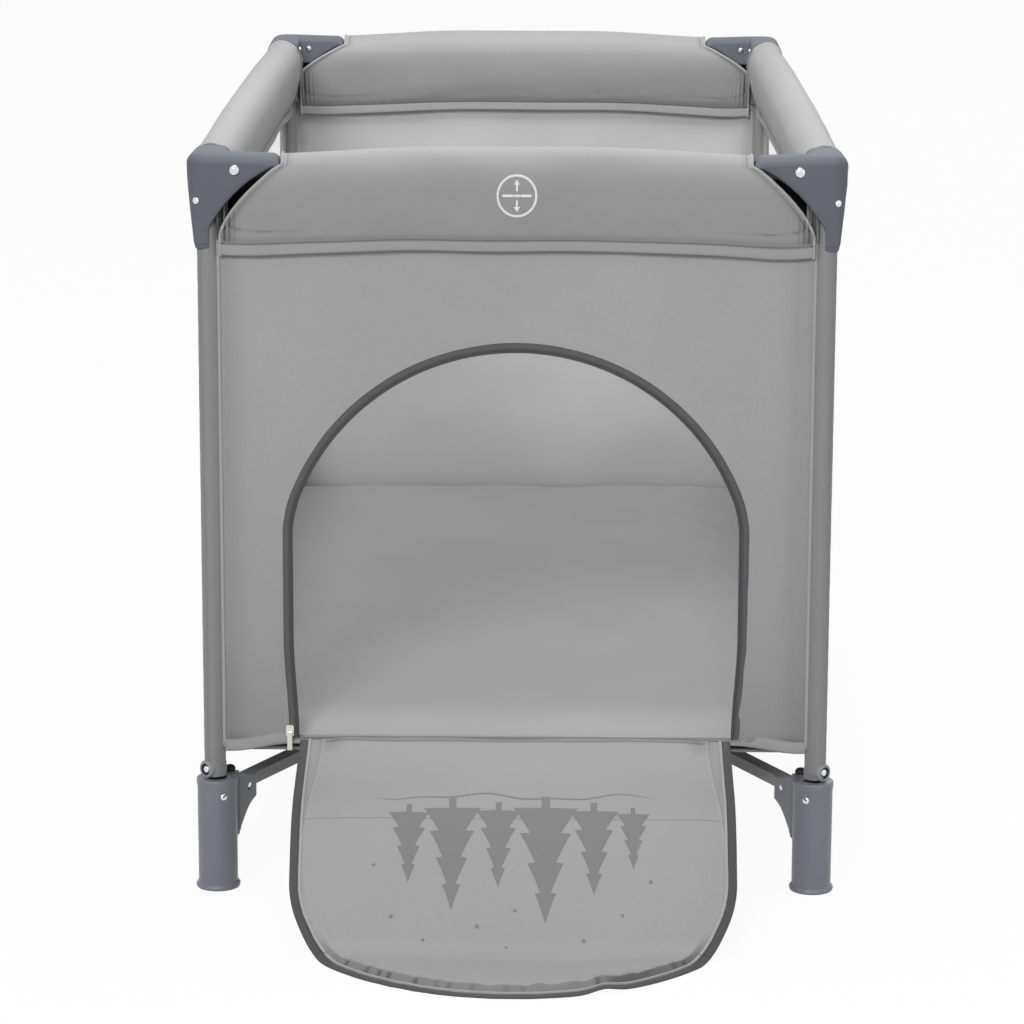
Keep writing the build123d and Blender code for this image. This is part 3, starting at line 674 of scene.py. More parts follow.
@dataclass
class Legs:
    """The four cloth-covered legs."""

    low: float = 0.1205
    high: float = 0.735
    radius: float = 0.0112
    groove: float = 0.0009
    dent: float = 0.0006
    piping: float = 0.0021
    lining_r: float = 0.0150
    lining_z: tuple[float, float] = (0.680, 0.7535)
    pleats: int = 26

    def sleeve(self, corner: Corner) -> Patch:
        """Sleeve: radius over the angle and height, with two flats and a soft groove.

        Radius = r - groove * bell(angle at the groove) + ripples, and the lower edge is
        folded over on a slant.

        Args:
            corner: the leg.

        Returns:
            Its outside.
        """
        angle = np.linspace(0, TURN, 48, endpoint=False)[None, :]
        height = np.linspace(self.low, self.high, 150)[:, None]
        turn = (angle - math.atan2(corner.sy, corner.sx) + np.pi) % TURN - np.pi
        drift = 0.10 * np.sin(height * 9 + corner.sx)
        radius = self.radius - self.groove * bell(turn, 0.12 + drift, 0.20)
        radius = radius - self.dent * (bell(turn, 1.35 + drift, 0.5) + bell(turn, -1.2, 0.5))
        slant = self.low + 0.0085 + 0.0045 * np.sin(turn - 0.6)
        radius = radius + 0.0007 * ease(height, slant + 0.0008, slant - 0.0008)
        radius = radius + 0.00012 * ripple(height * 3, turn * 0.02, 0.05, 5)
        ring = np.broadcast_arrays(radius * np.cos(angle), radius * np.sin(angle), height)
        # Painted shade in the soft groove and along the fold of the lower edge.
        tint = 1 - 0.22 * bell(turn, 0.12 + drift, 0.09) - 0.25 * bell(height, slant, 0.0007)
        return Patch(corner.axis + np.stack(ring, -1), tint=tint, ring=True)

    def pipings(self, corner: Corner) -> list[Patch]:
        """Two cords sewn where the walls leave the leg: a round profile carried up.

        Args:
            corner: the leg.

        Returns:
            The cords.
        """
        height = np.linspace(STANCE.hem + 0.004, STANCE.cover_low + 0.02, 60)[:, None]
        back = STANCE.wall_end - STANCE.leg_x + 0.0006
        out = (STANCE.wall_out + STANCE.wall_in) / 2 + 0.0012
        profile = round_profile(self.piping, self.piping, 10)
        paths = (corner.axis + corner.sign * shift + height * Z for shift in ([back, out, 0], [out, back, 0]))
        return [Patch(closed_ends(carry(path, profile, X)), ring=True, finish=1) for path in paths]

    def lining(self, corner: Corner) -> Patch:
        """Gathered cloth inside the leg's end, between the covers: radius = r + sine of the angle.

        Args:
            corner: the leg.

        Returns:
            The cloth.
        """
        angle = math.atan2(-corner.sy, -corner.sx) + np.linspace(-1.7, 1.7, 40)[None, :]
        height = np.linspace(*self.lining_z, 12)[:, None]
        pleat = np.sin(self.pleats * angle + 100 * height)
        radius = self.lining_r + 0.0008 * pleat
        ring = np.broadcast_arrays(radius * np.cos(angle), radius * np.sin(angle), height)
        # Painted shade: darkened overall in the shadowed gap, more in the pleats' troughs and less on their
        # crests.
        return Patch(corner.axis + np.stack(ring, -1), tint=0.60 + 0.16 * pleat, facing=-corner.sign)

    def build(self) -> None:
        """Makes each leg's sleeve with its cords."""
        for corner in CORNERS:
            patches = [self.sleeve(corner), *self.pipings(corner), self.lining(corner)]
            name = f"leg_sleeve_{corner.tag}"
            piece = make_piece(name, patches, [Finish.SLEEVE, Finish.PIPING], corner.body)
            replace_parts(piece, f"leg_tube_{corner.tag}")


@dataclass
class MouldedParts:
    """Corner brackets and boots, softened from their hard-edged solids."""

    voxel: float = 0.0014
    lean: float = 0.0066
    round_tail: float = 0.0052
    long_tail: float = 0.0036
    tail: tuple[float, float] = (0.716, 0.672)
    wing_fall: float = 0.009
    wing_back: float = 0.004
    boot_lean: float = 0.0018

    def soften(self, node: str, rounds: int) -> tuple[Array, Array]:
        """Remeshes a copy of a node and relaxes it, which rounds its edges as a mould does.

        Args:
            node: the CAD node.
            rounds: how often it is relaxed.

        Returns:
            Points and faces of the softened shape.
        """
        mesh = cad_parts[node].data.copy()
        weld(mesh, 1e-6)
        copy = bpy.data.objects.new("soften", mesh)
        bpy.context.scene.collection.objects.link(copy)
        remesh = copy.modifiers.new("voxels", "REMESH")
        remesh.mode, remesh.voxel_size = "VOXEL", self.voxel
        relax = copy.modifiers.new("relax", "SMOOTH")
        relax.factor, relax.iterations = 0.5, rounds
        shaped = copy.evaluated_get(bpy.context.evaluated_depsgraph_get()).to_mesh()
        points = np.zeros(len(shaped.vertices) * 3)
        shaped.vertices.foreach_get("co", points)
        faces = np.zeros(len(shaped.polygons) * 4, int)
        shaped.polygons.foreach_get("vertices", faces)
        bpy.data.objects.remove(copy)
        return points.reshape(-1, 3), faces.reshape(-1, 4)

    def taper(self, points: Array) -> Array:
        """Leans a front-left bracket's outer faces in below the rails and rounds its tail.

        The outward offset shrinks by lean * (depth below the wing)^1.2, only outside the
        leg, and the tail's end rises with the distance from its middle to the power 2.5.

        Args:
            points: n x 3 points of the bracket.

        Returns:
            The moved points.
        """
        moved = points.copy()
        depth = np.clip((STANCE.rail_z - 0.004 - points[:, 2]) / 0.078, 0, 1)
        edge = 0
        for axis, leg in ((0, STANCE.leg_x), (1, STANCE.leg_y)):
            room = np.clip((-leg - points[:, axis] - STANCE.leg_r - 0.001) / 0.0085, 0, 1)
            moved[:, axis] += self.lean * depth**1.2 * room
            edge = edge + np.clip(np.abs(points[:, axis] + leg + 0.004) / 0.011, 0, 1.2) ** 2.5
        tail = self.round_tail * np.minimum(edge, 1.4) - self.long_tail
        moved[:, 2] += ease(points[:, 2], *self.tail) * tail
        return self.crown(moved)

    def crown(self, points: Array) -> Array:
        """Lowers and rounds a front-left bracket's top.

        The top falls towards the wings' tips, and with the cube of the distance from a
        wing's middle line and from the leg's axis at the outer corner.

        Args:
            points: n x 3 points of the bracket.

        Returns:
            The moved points.
        """
        from_leg = points[:, :2] + [STANCE.leg_x, STANCE.leg_y]
        along, across = from_leg.max(1), from_leg.min(1)
        corner = np.linalg.norm(np.minimum(from_leg, 0), axis=1)
        side = np.where(along > 0, np.abs(across), corner)
        drop = 0.0038 + 0.0016 * ease(along, 0.0, 0.075) + 0.0055 * np.clip(side / 0.021, 0, 1.15) ** 3
        drop = drop + 0.0030 * ease(corner, 0.012, 0.028) + 0.0042 * ease(along, 0.0655, 0.0765)
        moved = points.copy()
        moved[:, 2] -= drop * ease(points[:, 2], 0.752, 0.7708)
        return moved

    def shorten(self, points: Array) -> Array:
        """Lowers and shortens a front-left boot's wing, and leans the boot in a little.

        Along the diagonal from the leg the wing's top falls and its end comes back, each
        by an eased step. The boot's two rims stand out less.

        Args:
            points: n x 3 points of the boot.

        Returns:
            The moved points.
        """
        way = unit(np.array([STANCE.leg_x, STANCE.leg_y]))
        away = points[:, :2] + [STANCE.leg_x, STANCE.leg_y]
        reach = away @ way
        radius = np.linalg.norm(away, axis=1)
        flare = np.clip(radius - 0.0203, 0, None) * (reach < 0.022)
        share = np.where(points[:, 2] < 0.05, 1 - ease(points[:, 2], 0.0052, 0.0034), 0.5)
        moved = points.copy()
        moved[:, :2] -= away / np.maximum(radius, 1e-6)[:, None] * (flare * share)[:, None]
        moved[:, :2] -= (self.wing_back * ease(reach, 0.030, 0.060))[:, None] * way
        moved[:, 2] -= self.wing_fall * ease(reach, 0.018, 0.060) * ease(points[:, 2], 0.080, 0.112)
        moved[:, 0] += self.boot_lean
        moved[:, 2] = np.maximum(moved[:, 2], 0.0)
        return moved

    def place(self, corner: Corner, node: str, points: Array, faces: Array, finish: Finish) -> None:
        """Mirrors a front-left shape to a corner.

        Args:
            corner: the corner.
            node: CAD node that it stands for, without the corner. Its last word names the piece.
            points: points of the front-left shape.
            faces: its faces.
            finish: its finish.
        """
        mesh = bpy.data.meshes.new(f"{node.split('_')[-1]}_{corner.tag}")
        order = faces if corner.sx == corner.sy else faces[:, ::-1]
        mesh.from_pydata(points * [-corner.sx, -corner.sy, 1], [], order)
        mesh.polygons.foreach_set("use_smooth", np.ones(len(faces), bool))
        mesh.materials.append(finish.material())
        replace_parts(add_piece(mesh, corner.body), f"{node}_{corner.tag}")

    def build(self) -> None:
        """Makes the brackets and boots of all four corners."""
        bracket, bracket_faces = self.soften("corner_bracket_fl", 14)
        boot, boot_faces = self.soften("foot_boot_fl", 10)
        bracket, boot = self.taper(bracket), self.shorten(boot)
        for corner in CORNERS:
            self.place(corner, "corner_bracket", bracket, bracket_faces, Finish.SHELL)
            self.place(corner, "foot_boot", boot, boot_faces, Finish.BOOT)


@dataclass
class Fasteners:
    """Rivets, studs, washers, rubber buffers and foot rings at the legs' ends."""

    wing: float = 0.0200
    pivot: float = 0.029
    boot_r: float = 0.0205
    boot_top: float = 0.118
    tube_z: float = 0.100
    screw_z: float = 0.128
    stud: tuple[float, float] = (0.0036, 0.0022)
    cup: tuple = ((0.0094, -0.003), (0.0094, 0.0012), (0.0088, 0.0024), (0.0072, 0.0030), (0.0062, 0.0026))
    groove: tuple = ((0.0062, 0.0026), (0.0056, 0.0008), (0.0044, 0.0006), (0.0, 0.0006))
    foot: tuple = (
        (0.0198, 0.0066), (0.0210, 0.0060), (0.0218, 0.0054),
        (0.0221, 0.0042), (0.0221, 0.0012), (0.0212, 0.0),
    )

    def dome(self, centre: Array, axis: Array, radius: float, tall: float, finish: int = 0) -> Patch:
        """A low dome on a short neck: an ellipse's quarter turned about its axis.

        Args:
            centre: middle of its foot.
            axis: direction that it looks in.
            radius: its radius.
            tall: its height.
            finish: number of its finish.

        Returns:
            The dome.
        """
        turn = np.linspace(0, np.pi / 2, 9)
        curve = np.stack([radius * np.cos(turn), tall * (0.25 + 0.75 * np.sin(turn))], 1)
        profile = np.concatenate([[[radius * 0.96, -0.002]], curve])
        return Patch(lathe(profile, centre, axis, 24), ring=True, finish=finish)

    def patches(self, corner: Corner) -> list[Patch]:
        """Every fastener of one leg.

        Args:
            corner: the leg.

        Returns:
            Its turned shapes.
        """
        at, found = corner.axis, []
        rail = at + STANCE.rail_z * Z
        for out, along in ((Y, X), (X, Y)):
            axis, pivot = corner.sign * out, rail - corner.sign * along * self.pivot
            found.append(self.dome(pivot + axis * self.wing, axis, 0.0052, 0.0034))
            found.append(self.dome(pivot - axis * 0.0178, -axis, 0.0036, 0.0024))
        for degrees, reach, height in (
            (30, self.wing - 0.0008, STANCE.top - 0.051),
            (-29, self.boot_r - 0.0003, 0.101),
        ):
            turn = math.radians(degrees)
            way = corner.sign * [math.sin(turn), math.cos(turn), 0]
            found.append(self.dome(at + way * reach + height * Z, way, *self.stud))
        inward = -unit(at)
        square = np.array([-inward[1], inward[0], 0]) * corner.sx * corner.sy
        for way in (square, -square):
            centre = at + 0.044 * inward + 0.0128 * way + self.tube_z * Z
            found.append(self.dome(centre, way, *self.stud))
        found.append(self.dome(at + 0.0282 * inward + self.boot_top * Z, Z, 0.0060, 0.0058, 2))
        away = unit(corner.sign)
        screw = at + away * 0.0108 + self.screw_z * Z
        found.append(self.dome(screw, away, 0.0042, 0.0030))
        foot = at - [corner.sx * MouldedParts.boot_lean, 0, 0]
        for profile, centre, axis, sides, finish in (
            (self.cup, screw, away, 32, 1),
            (self.groove, screw, away, 32, 2),
            (self.foot, foot, Z, 56, 3),
        ):
            found.append(Patch(lathe(np.array(profile), centre, axis, sides), ring=True, finish=finish))
        return found

    def build(self) -> None:
        """Makes each leg's fasteners as one piece."""
        finishes = [Finish.CHROME, Finish.WASHER, Finish.RUBBER, Finish.BOOT]
        for corner in CORNERS:
            tag = corner.tag
            piece = make_piece(
                f"fasteners_{tag}", self.patches(corner), finishes, corner.body, 40
            )
            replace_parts(piece, f"bracket_rivets_{tag}", f"foot_fasteners_{tag}")


@dataclass
class RailCover:
    """Padded sleeve over a top rail, in three pieces that part at the latch's pivots."""

    name: str
    along: Array
    out: Array
    half: float
    split: float
    rails: tuple[str, str]
    seed: int
    arch: float = 1.0
    hem: float = 0.0105
    dome: float = 0.026
    middle: float = 0.0035
    flat: float = 0.0098
    pinch: float = 0.0084
    pleat: float = 0.0050
    fold_z: float = 0.7581
    fold_keep: float = 0.2835
    lip: tuple = (
        (0.0098, 0.007), (0.0040, 0.007), (0.0034, 0.004),
        (0.0030, 0.0008), (0.0018, 0.0), (0.0006, 0.0005),
    )
    lining: tuple = ((0.88, 0.002), (0.74, 0.010), (0.56, 0.018))

    def profile(self) -> tuple[Array, Array]:
        """Section of the sleeve, from the bottom up the outer side and down the inner.

        It is open below: a flat hem hangs on each side of the wall. Above it the body's
        half width swells with the sine of the height to the power 0.8 from the seam, and
        a quarter ellipse runs over the top.

        Returns:
            Distance outwards and height of each point, closed.
        """
        low = STANCE.cover_low
        seam, shoulder = low + self.hem, STANCE.cover_top - self.dome
        rise = np.linspace(0, 1, 34)[1:] ** 1.5
        round_off = np.linspace(0, np.pi / 2, 18)[1:]
        inset, lift = np.array(self.lip).T
        body = seam + (shoulder - seam) * rise
        top = shoulder + self.dome * np.sin(round_off)
        high = np.concatenate([low + lift, np.linspace(low + 0.0018, seam - 0.001, 6), [seam], body, top])
        sides = []
        for full, sign in ((STANCE.cover_out, 1), (STANCE.cover_in, -1)):
            belly = full - self.middle * sign - self.pinch
            belly = self.pinch + belly * np.sin(np.pi / 2 * rise**0.80)
            over = belly[-1] * np.cos(round_off)
            wide = np.concatenate([self.flat - inset, np.full(6, self.flat), [self.pinch], belly, over])
            sides.append(self.middle + sign * wide)
        outer, inner = sides
        return np.concatenate([outer, inner[::-1][1:-1]]), np.concatenate([high, high[::-1][1:-1]])

    def end(self, wide: Array, high: Array) -> Array:
        """How far from the leg's axis the sleeve ends, along the bracket's hollow edge.

        On the outer side it is 13 mm low down and grows with the height to the power
        1.45, to clear the wing's tip. The inner side runs into the corner up to the
        bracket, then back to the wing's tip.

        Args:
            wide: distance outwards of each point of the section.
            high: its height.

        Returns:
            The distance for each point.
        """
        within = ease(wide, 0.006, -0.002)
        rise = np.clip((high - 0.690) / 0.067, 0, 1) ** 1.45
        inner_rise = np.clip((high - 0.722) / 0.035, 0, 1) ** 1.3
        rise = rise + (inner_rise - rise) * within
        start = 0.013 + 0.005 * within
        return start + (0.0700 - start) * rise + 0.0065 * ease(high, 0.7555, 0.7605)

    def shape(self, length: Array, wide: Array, high: Array) -> Array:
        """Moves the section at each place along the rail, and puts it in space.

        The top rises towards the latch and sags at the ends, the hem waves, and cloth is
        gathered in upright folds beside the legs: a sine of the distance from the end.

        Args:
            length: distance along the rail from its middle.
            wide: distance outwards.
            high: height.

        Returns:
            The points.
        """
        length, wide, high = np.broadcast_arrays(length, wide, high)
        low, top = STANCE.cover_low, STANCE.cover_top
        share = (high - low) / (top - low)
        from_end = self.half - np.abs(length)
        crown = 0.0078 * self.arch * ease(from_end, 0.05, self.half * 0.75) - 0.0044
        wave = 0.0011 * ripple(length, length * 0 + self.seed, 0.16, self.seed, 4)
        wave = wave - 0.0034 - 0.0046 * (bell(from_end, 0.085, 0.085) + bell(from_end, 0.030, 0.050))
        lift = crown * share**1.5 + wave * (1 - share) ** 2
        upright = ease(high, 0.735, 0.70) * ease(from_end, 0.044, 0.016)
        upright = upright * ease(high, low + 0.008, low + 0.018)
        room = np.clip(np.abs(wide - self.middle) / 0.012, 0, 1)
        gather = 0.0016 * upright * room * np.sin(from_end * TURN / self.pleat + 3 * share)
        belly = 0.0010 * self.arch**2 * ripple(length, high * 1.5, 0.11, self.seed + 7)
        belly = belly * ease(share, 0.16, 0.4) * ease(share, 1.0, 0.8)
        pull = 0.0005 * ripple(length, high, 0.022, self.seed + 3) * bell(share, 0.19, 0.07)
        slim = 0.30 - 0.18 * ease(wide, 0.004, -0.004)
        slim = 1 - slim * ease(from_end, 0.06, 0.02) * ease(high, 0.745, 0.70)
        from_middle = wide - self.middle
        swollen = self.middle + from_middle * slim + np.sign(from_middle) * (gather + belly + pull)
        base = np.abs(self.out) @ [STANCE.leg_x, STANCE.leg_y, 0] * self.out
        flat = base + length[..., None] * self.along + swollen[..., None] * self.out
        return flat + (high + lift)[..., None] * Z

    def tint(self, length: Array, high: Array) -> Array:
        """Painted shade in the seam, under the hem, on the lower side and in the gathers beside the legs, and
        a paler hem band.

        Args:
            length: distance along the rail.
            high: height on the section.

        Returns:
            Factor on the cloth's colour.
        """
        low, seam = STANCE.cover_low, STANCE.cover_low + self.hem
        from_end = self.half - np.abs(length)
        # Painted shade: a dark line in the seam with softer shade above it, a dark line under the hem and a
        # darker lower side.
        lines = 0.40 * bell(high, seam, 0.0007) + 0.14 * bell(high, seam + 0.003, 0.003)
        lines = lines + 0.45 * bell(high, low, 0.0009) + 0.10 * ease(high, 0.752, 0.726)
        pale = 0.07 * ease(high, low + 0.001, low + 0.003) * ease(high, seam, seam - 0.002)
        # Painted shade in the troughs of the gathers beside the legs.
        upright = ease(high, 0.742, 0.705) * ease(from_end, 0.034, 0.015) * ease(high, seam, seam + 0.004)
        folds = 0.13 + 0.21 * (1 - np.sin(from_end * TURN / self.pleat + 1.0))
        return 1 - lines + pale - upright * folds

    def skin(self, start: float, stop: Array, share: Array) -> tuple[Array, Array, Array]:
        """Grid of the sleeve between two places along the rail.

        Args:
            start: where it starts.
            stop: where it ends, for each point of the section.
            share: how far each row is on the way.

        Returns:
            Its points, its tint and its distance along the rail.
        """
        wide, high = self.profile()
        length = start + share[:, None] * (stop - start)
        return self.shape(length, wide[None], high[None]), self.tint(length, high[None]), length

    def cap(self, ring: Array, way: Array, finish: int = 0) -> Patch:
        """Closes a sleeve's cut end with a flat sheet, a little inside it.

        Args:
            ring: points round the end.
            way: direction that the sheet looks in.
            finish: number of its finish.

        Returns:
            The sheet.
        """
        closed, middle = np.concatenate([ring, ring[:1]]), ring.mean(0)
        rows = np.stack([middle + (closed - middle) * s for s in (0.0, 0.5, 0.985)])
        return Patch(rows, finish=finish, facing=way)

    def half_patches(self, side: int) -> list[Patch]:
        """Skin, lining painted near black as shade, piping and cut end of one rail's half.

        Args:
            side: -1 or 1, the half's side along the rail.

        Returns:
            The patches.
        """
        wide, high = self.profile()
        stop = side * (self.half - self.end(wide, high))
        points, tint, length = self.skin(side * self.split, stop, 1 - np.linspace(1, 0, 140) ** 1.8)
        gap = np.abs(stop - length) * ease(high, STANCE.cover_low + 0.02, STANCE.cover_low + 0.03)
        # Painted shade in two lines beside the cord at the cut end.
        tint = tint - 0.34 * bell(gap, 0.0052, 0.0012) - 0.12 * bell(gap, 0.0085, 0.0022)
        edge, middle, inward = points[-1], points[-1].mean(0), -side * self.along
        lining = [edge] + [middle + (edge - middle) * share + inward * deep for share, deep in self.lining]
        way = unit(np.roll(edge, -1, 0) - np.roll(edge, 1, 0))
        normal = unit(np.cross(way, np.cross(self.along, way)))
        across = unit(np.cross(way, normal))
        profile = round_profile(0.0017, 0.0017, 8)
        cord = edge[:, None] + profile[:, :1] * normal[:, None] + profile[:, 1:] * across[:, None]
        return [
            Patch(points, tint=tint, ring=True),
            # The lining and its deep cap take the near-black finish: painted shade inside the end.
            Patch(np.stack(lining), ring=True, hollow=True, finish=2),
            self.cap(lining[-1], -inward, 2),
            Patch(np.concatenate([cord, cord[:1]]), ring=True, finish=1),
            self.cap(points[0], inward),
        ]

    def build(self) -> None:
        """Makes the sleeve's three pieces."""
        finishes = [Finish.COVER, Finish.PIPING, Finish.LINING]
        for side, rail in zip((-1, 1), self.rails):
            patches = self.half_patches(side)
            half = make_piece(f"cover_{rail}", patches, finishes, f"rail_{rail}")
            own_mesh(half)
        points, tint, _ = self.skin(-self.split, np.array([self.split]), np.linspace(0, 1, 60))
        caps = [self.cap(points[0], -self.along), self.cap(points[-1], self.along)]
        patches = [Patch(points, tint=tint, ring=True), *caps]
        middle = make_piece(
            f"cover_{self.name}_middle", patches, finishes, f"latch_{self.name}"
        )
        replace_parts(middle, f"cover_{self.name}")

    def outside(self, length: Array, high: Array) -> Array:
        """Points on the outer side of the sleeve.

        Args:
            length: distance along the rail.
            high: height before the sleeve's own waves.

        Returns:
            Points in space.
        """
        wide, rise = self.profile()
        count = len(wide) // 2 + 1
        return self.shape(length, np.interp(high, rise[:count], wide[:count]), high)


@dataclass
class Label:
    """Round pull-up label on the front cover: a ring, two arrows and a plain mark."""

    cover: RailCover
    height: float = 0.7265
    radius: float = 0.0192
    stroke: float = 0.0022
    proud: float = 0.00025
    arrow: tuple = (
        (0.0042, 0.0010), (0.0075, 0.0010), (0.0105, 0.0010),
        (0.0105001, 0.0034), (0.0128, 0.0017), (0.0150, 0.0001),
    )
    bars: tuple = ((-0.0135, -0.0045), (-0.0020, 0.0020), (0.0045, 0.0135))

    def on_cover(self, across: Array, up: Array) -> Patch:
        """Lays a flat grid on the cover's outer side."""
        points = self.cover.outside(across, self.height + up) + self.cover.out * self.proud
        return Patch(points, facing=self.cover.out)

    def strip(self, left: Array, right: Array, up: Array) -> Patch:
        """Band between two edges at each height, as one grid."""
        across = left[:, None] + (right - left)[:, None] * np.linspace(0, 1, 5)
        return self.on_cover(across, np.broadcast_to(up[:, None], across.shape))

    def build(self) -> None:
        """Makes the ring, arrows and marks as thin pieces on the cover over the latch."""
        angle = np.linspace(0, TURN, 73)[None, :]
        reach = self.radius + np.linspace(-0.5, 0.5, 4)[:, None] * self.stroke
        found = [self.on_cover(reach * np.cos(angle), reach * np.sin(angle))]
        up, wide = np.array(self.arrow).T
        found += [self.strip(-wide, wide, sign * up) for sign in (1, -1)]
        level = np.linspace(-0.0012, 0.0012, 5)
        bulge = np.sqrt(np.clip(1 - (level / 0.0013) ** 2, 0, 1)) * 0.0012
        found += [self.strip(left - bulge, right + bulge, level) for left, right in self.bars]
        make_piece("unlock_label", found, [Finish.LABEL], "latch_front")


@dataclass(frozen=True)
class Arch:
    """Door outline: straight sides, two side arcs and a crown arc, and lines parallel to it."""

    half: float = 0.227
    sill: float = 0.162
    spring: float = 0.375
    rise: float = 0.190
    side_r: float = 0.112

    def line(self, count: int, offset: float, foot: float) -> tuple[Array, Array]:
        """Outline from the left foot over the crown to the right foot.

        Places are spaced evenly by length on straight runs and arcs of the plain
        outline, and moved by offset along its normals, so lines of any offset match.

        Args:
            count: number of points.
            offset: distance outside the plain outline.
            foot: height of its feet.

        Returns:
            Points (x, z) and outward normals.
        """
        inset = self.half - self.side_r
        crown = (inset**2 + self.rise**2 - self.side_r**2) / (2 * (self.rise - self.side_r))
        crown_z = self.spring + self.rise - crown
        side_turn = math.atan2(self.spring - crown_z, inset)
        straight = self.spring - foot
        shoulder = straight + self.side_r * side_turn
        half = shoulder + crown * (np.pi / 2 - side_turn)
        place = np.linspace(-half, half, count)
        away = half - np.abs(place)
        on_crown = away > shoulder
        side_arc = np.clip((away - straight) / self.side_r, 0, side_turn)
        turn = np.where(on_crown, side_turn + (away - shoulder) / crown, side_arc)
        radius = np.where(on_crown, crown, self.side_r)
        x = np.where(on_crown, 0, inset) + radius * np.cos(turn)
        z = np.where(on_crown, crown_z, self.spring) + radius * np.sin(turn)
        z = np.where(away < straight, foot + away, z)
        side = np.sign(place) + (place == 0)
        normal = np.stack([side * np.cos(turn), np.sin(turn)], 1)
        return np.stack([side * x, z], 1) + offset * normal, normal


DOOR = Arch()


def pinched(x: Array, z: Array) -> Array:
    """Places across the door, drawn in by up to 5 mm towards the sill."""
    near = ease(np.abs(x), 0.300, 0.236) * ease(np.abs(x), 0.15, 0.2)
    return x - np.sign(x) * 0.005 * ease(z, 0.270, 0.165) * near


@dataclass(frozen=True)
class Side:
    """One wall's place: its name, the body it rides on, its directions and its reach."""

    name: str
    body: str
    along: Array
    out: Array
    half: float
    place: float

    @property
    def sign(self) -> int:
        """1 where the wall looks along x or y, and -1 where it looks the other way."""
        return round(self.out.sum())

    def at(self, across: Array, stand: Array, high: Array) -> Array:
        """Points along the wall, out from the pen's middle and above the floor."""
        return across[..., None] * self.along + stand[..., None] * self.out + high[..., None] * Z


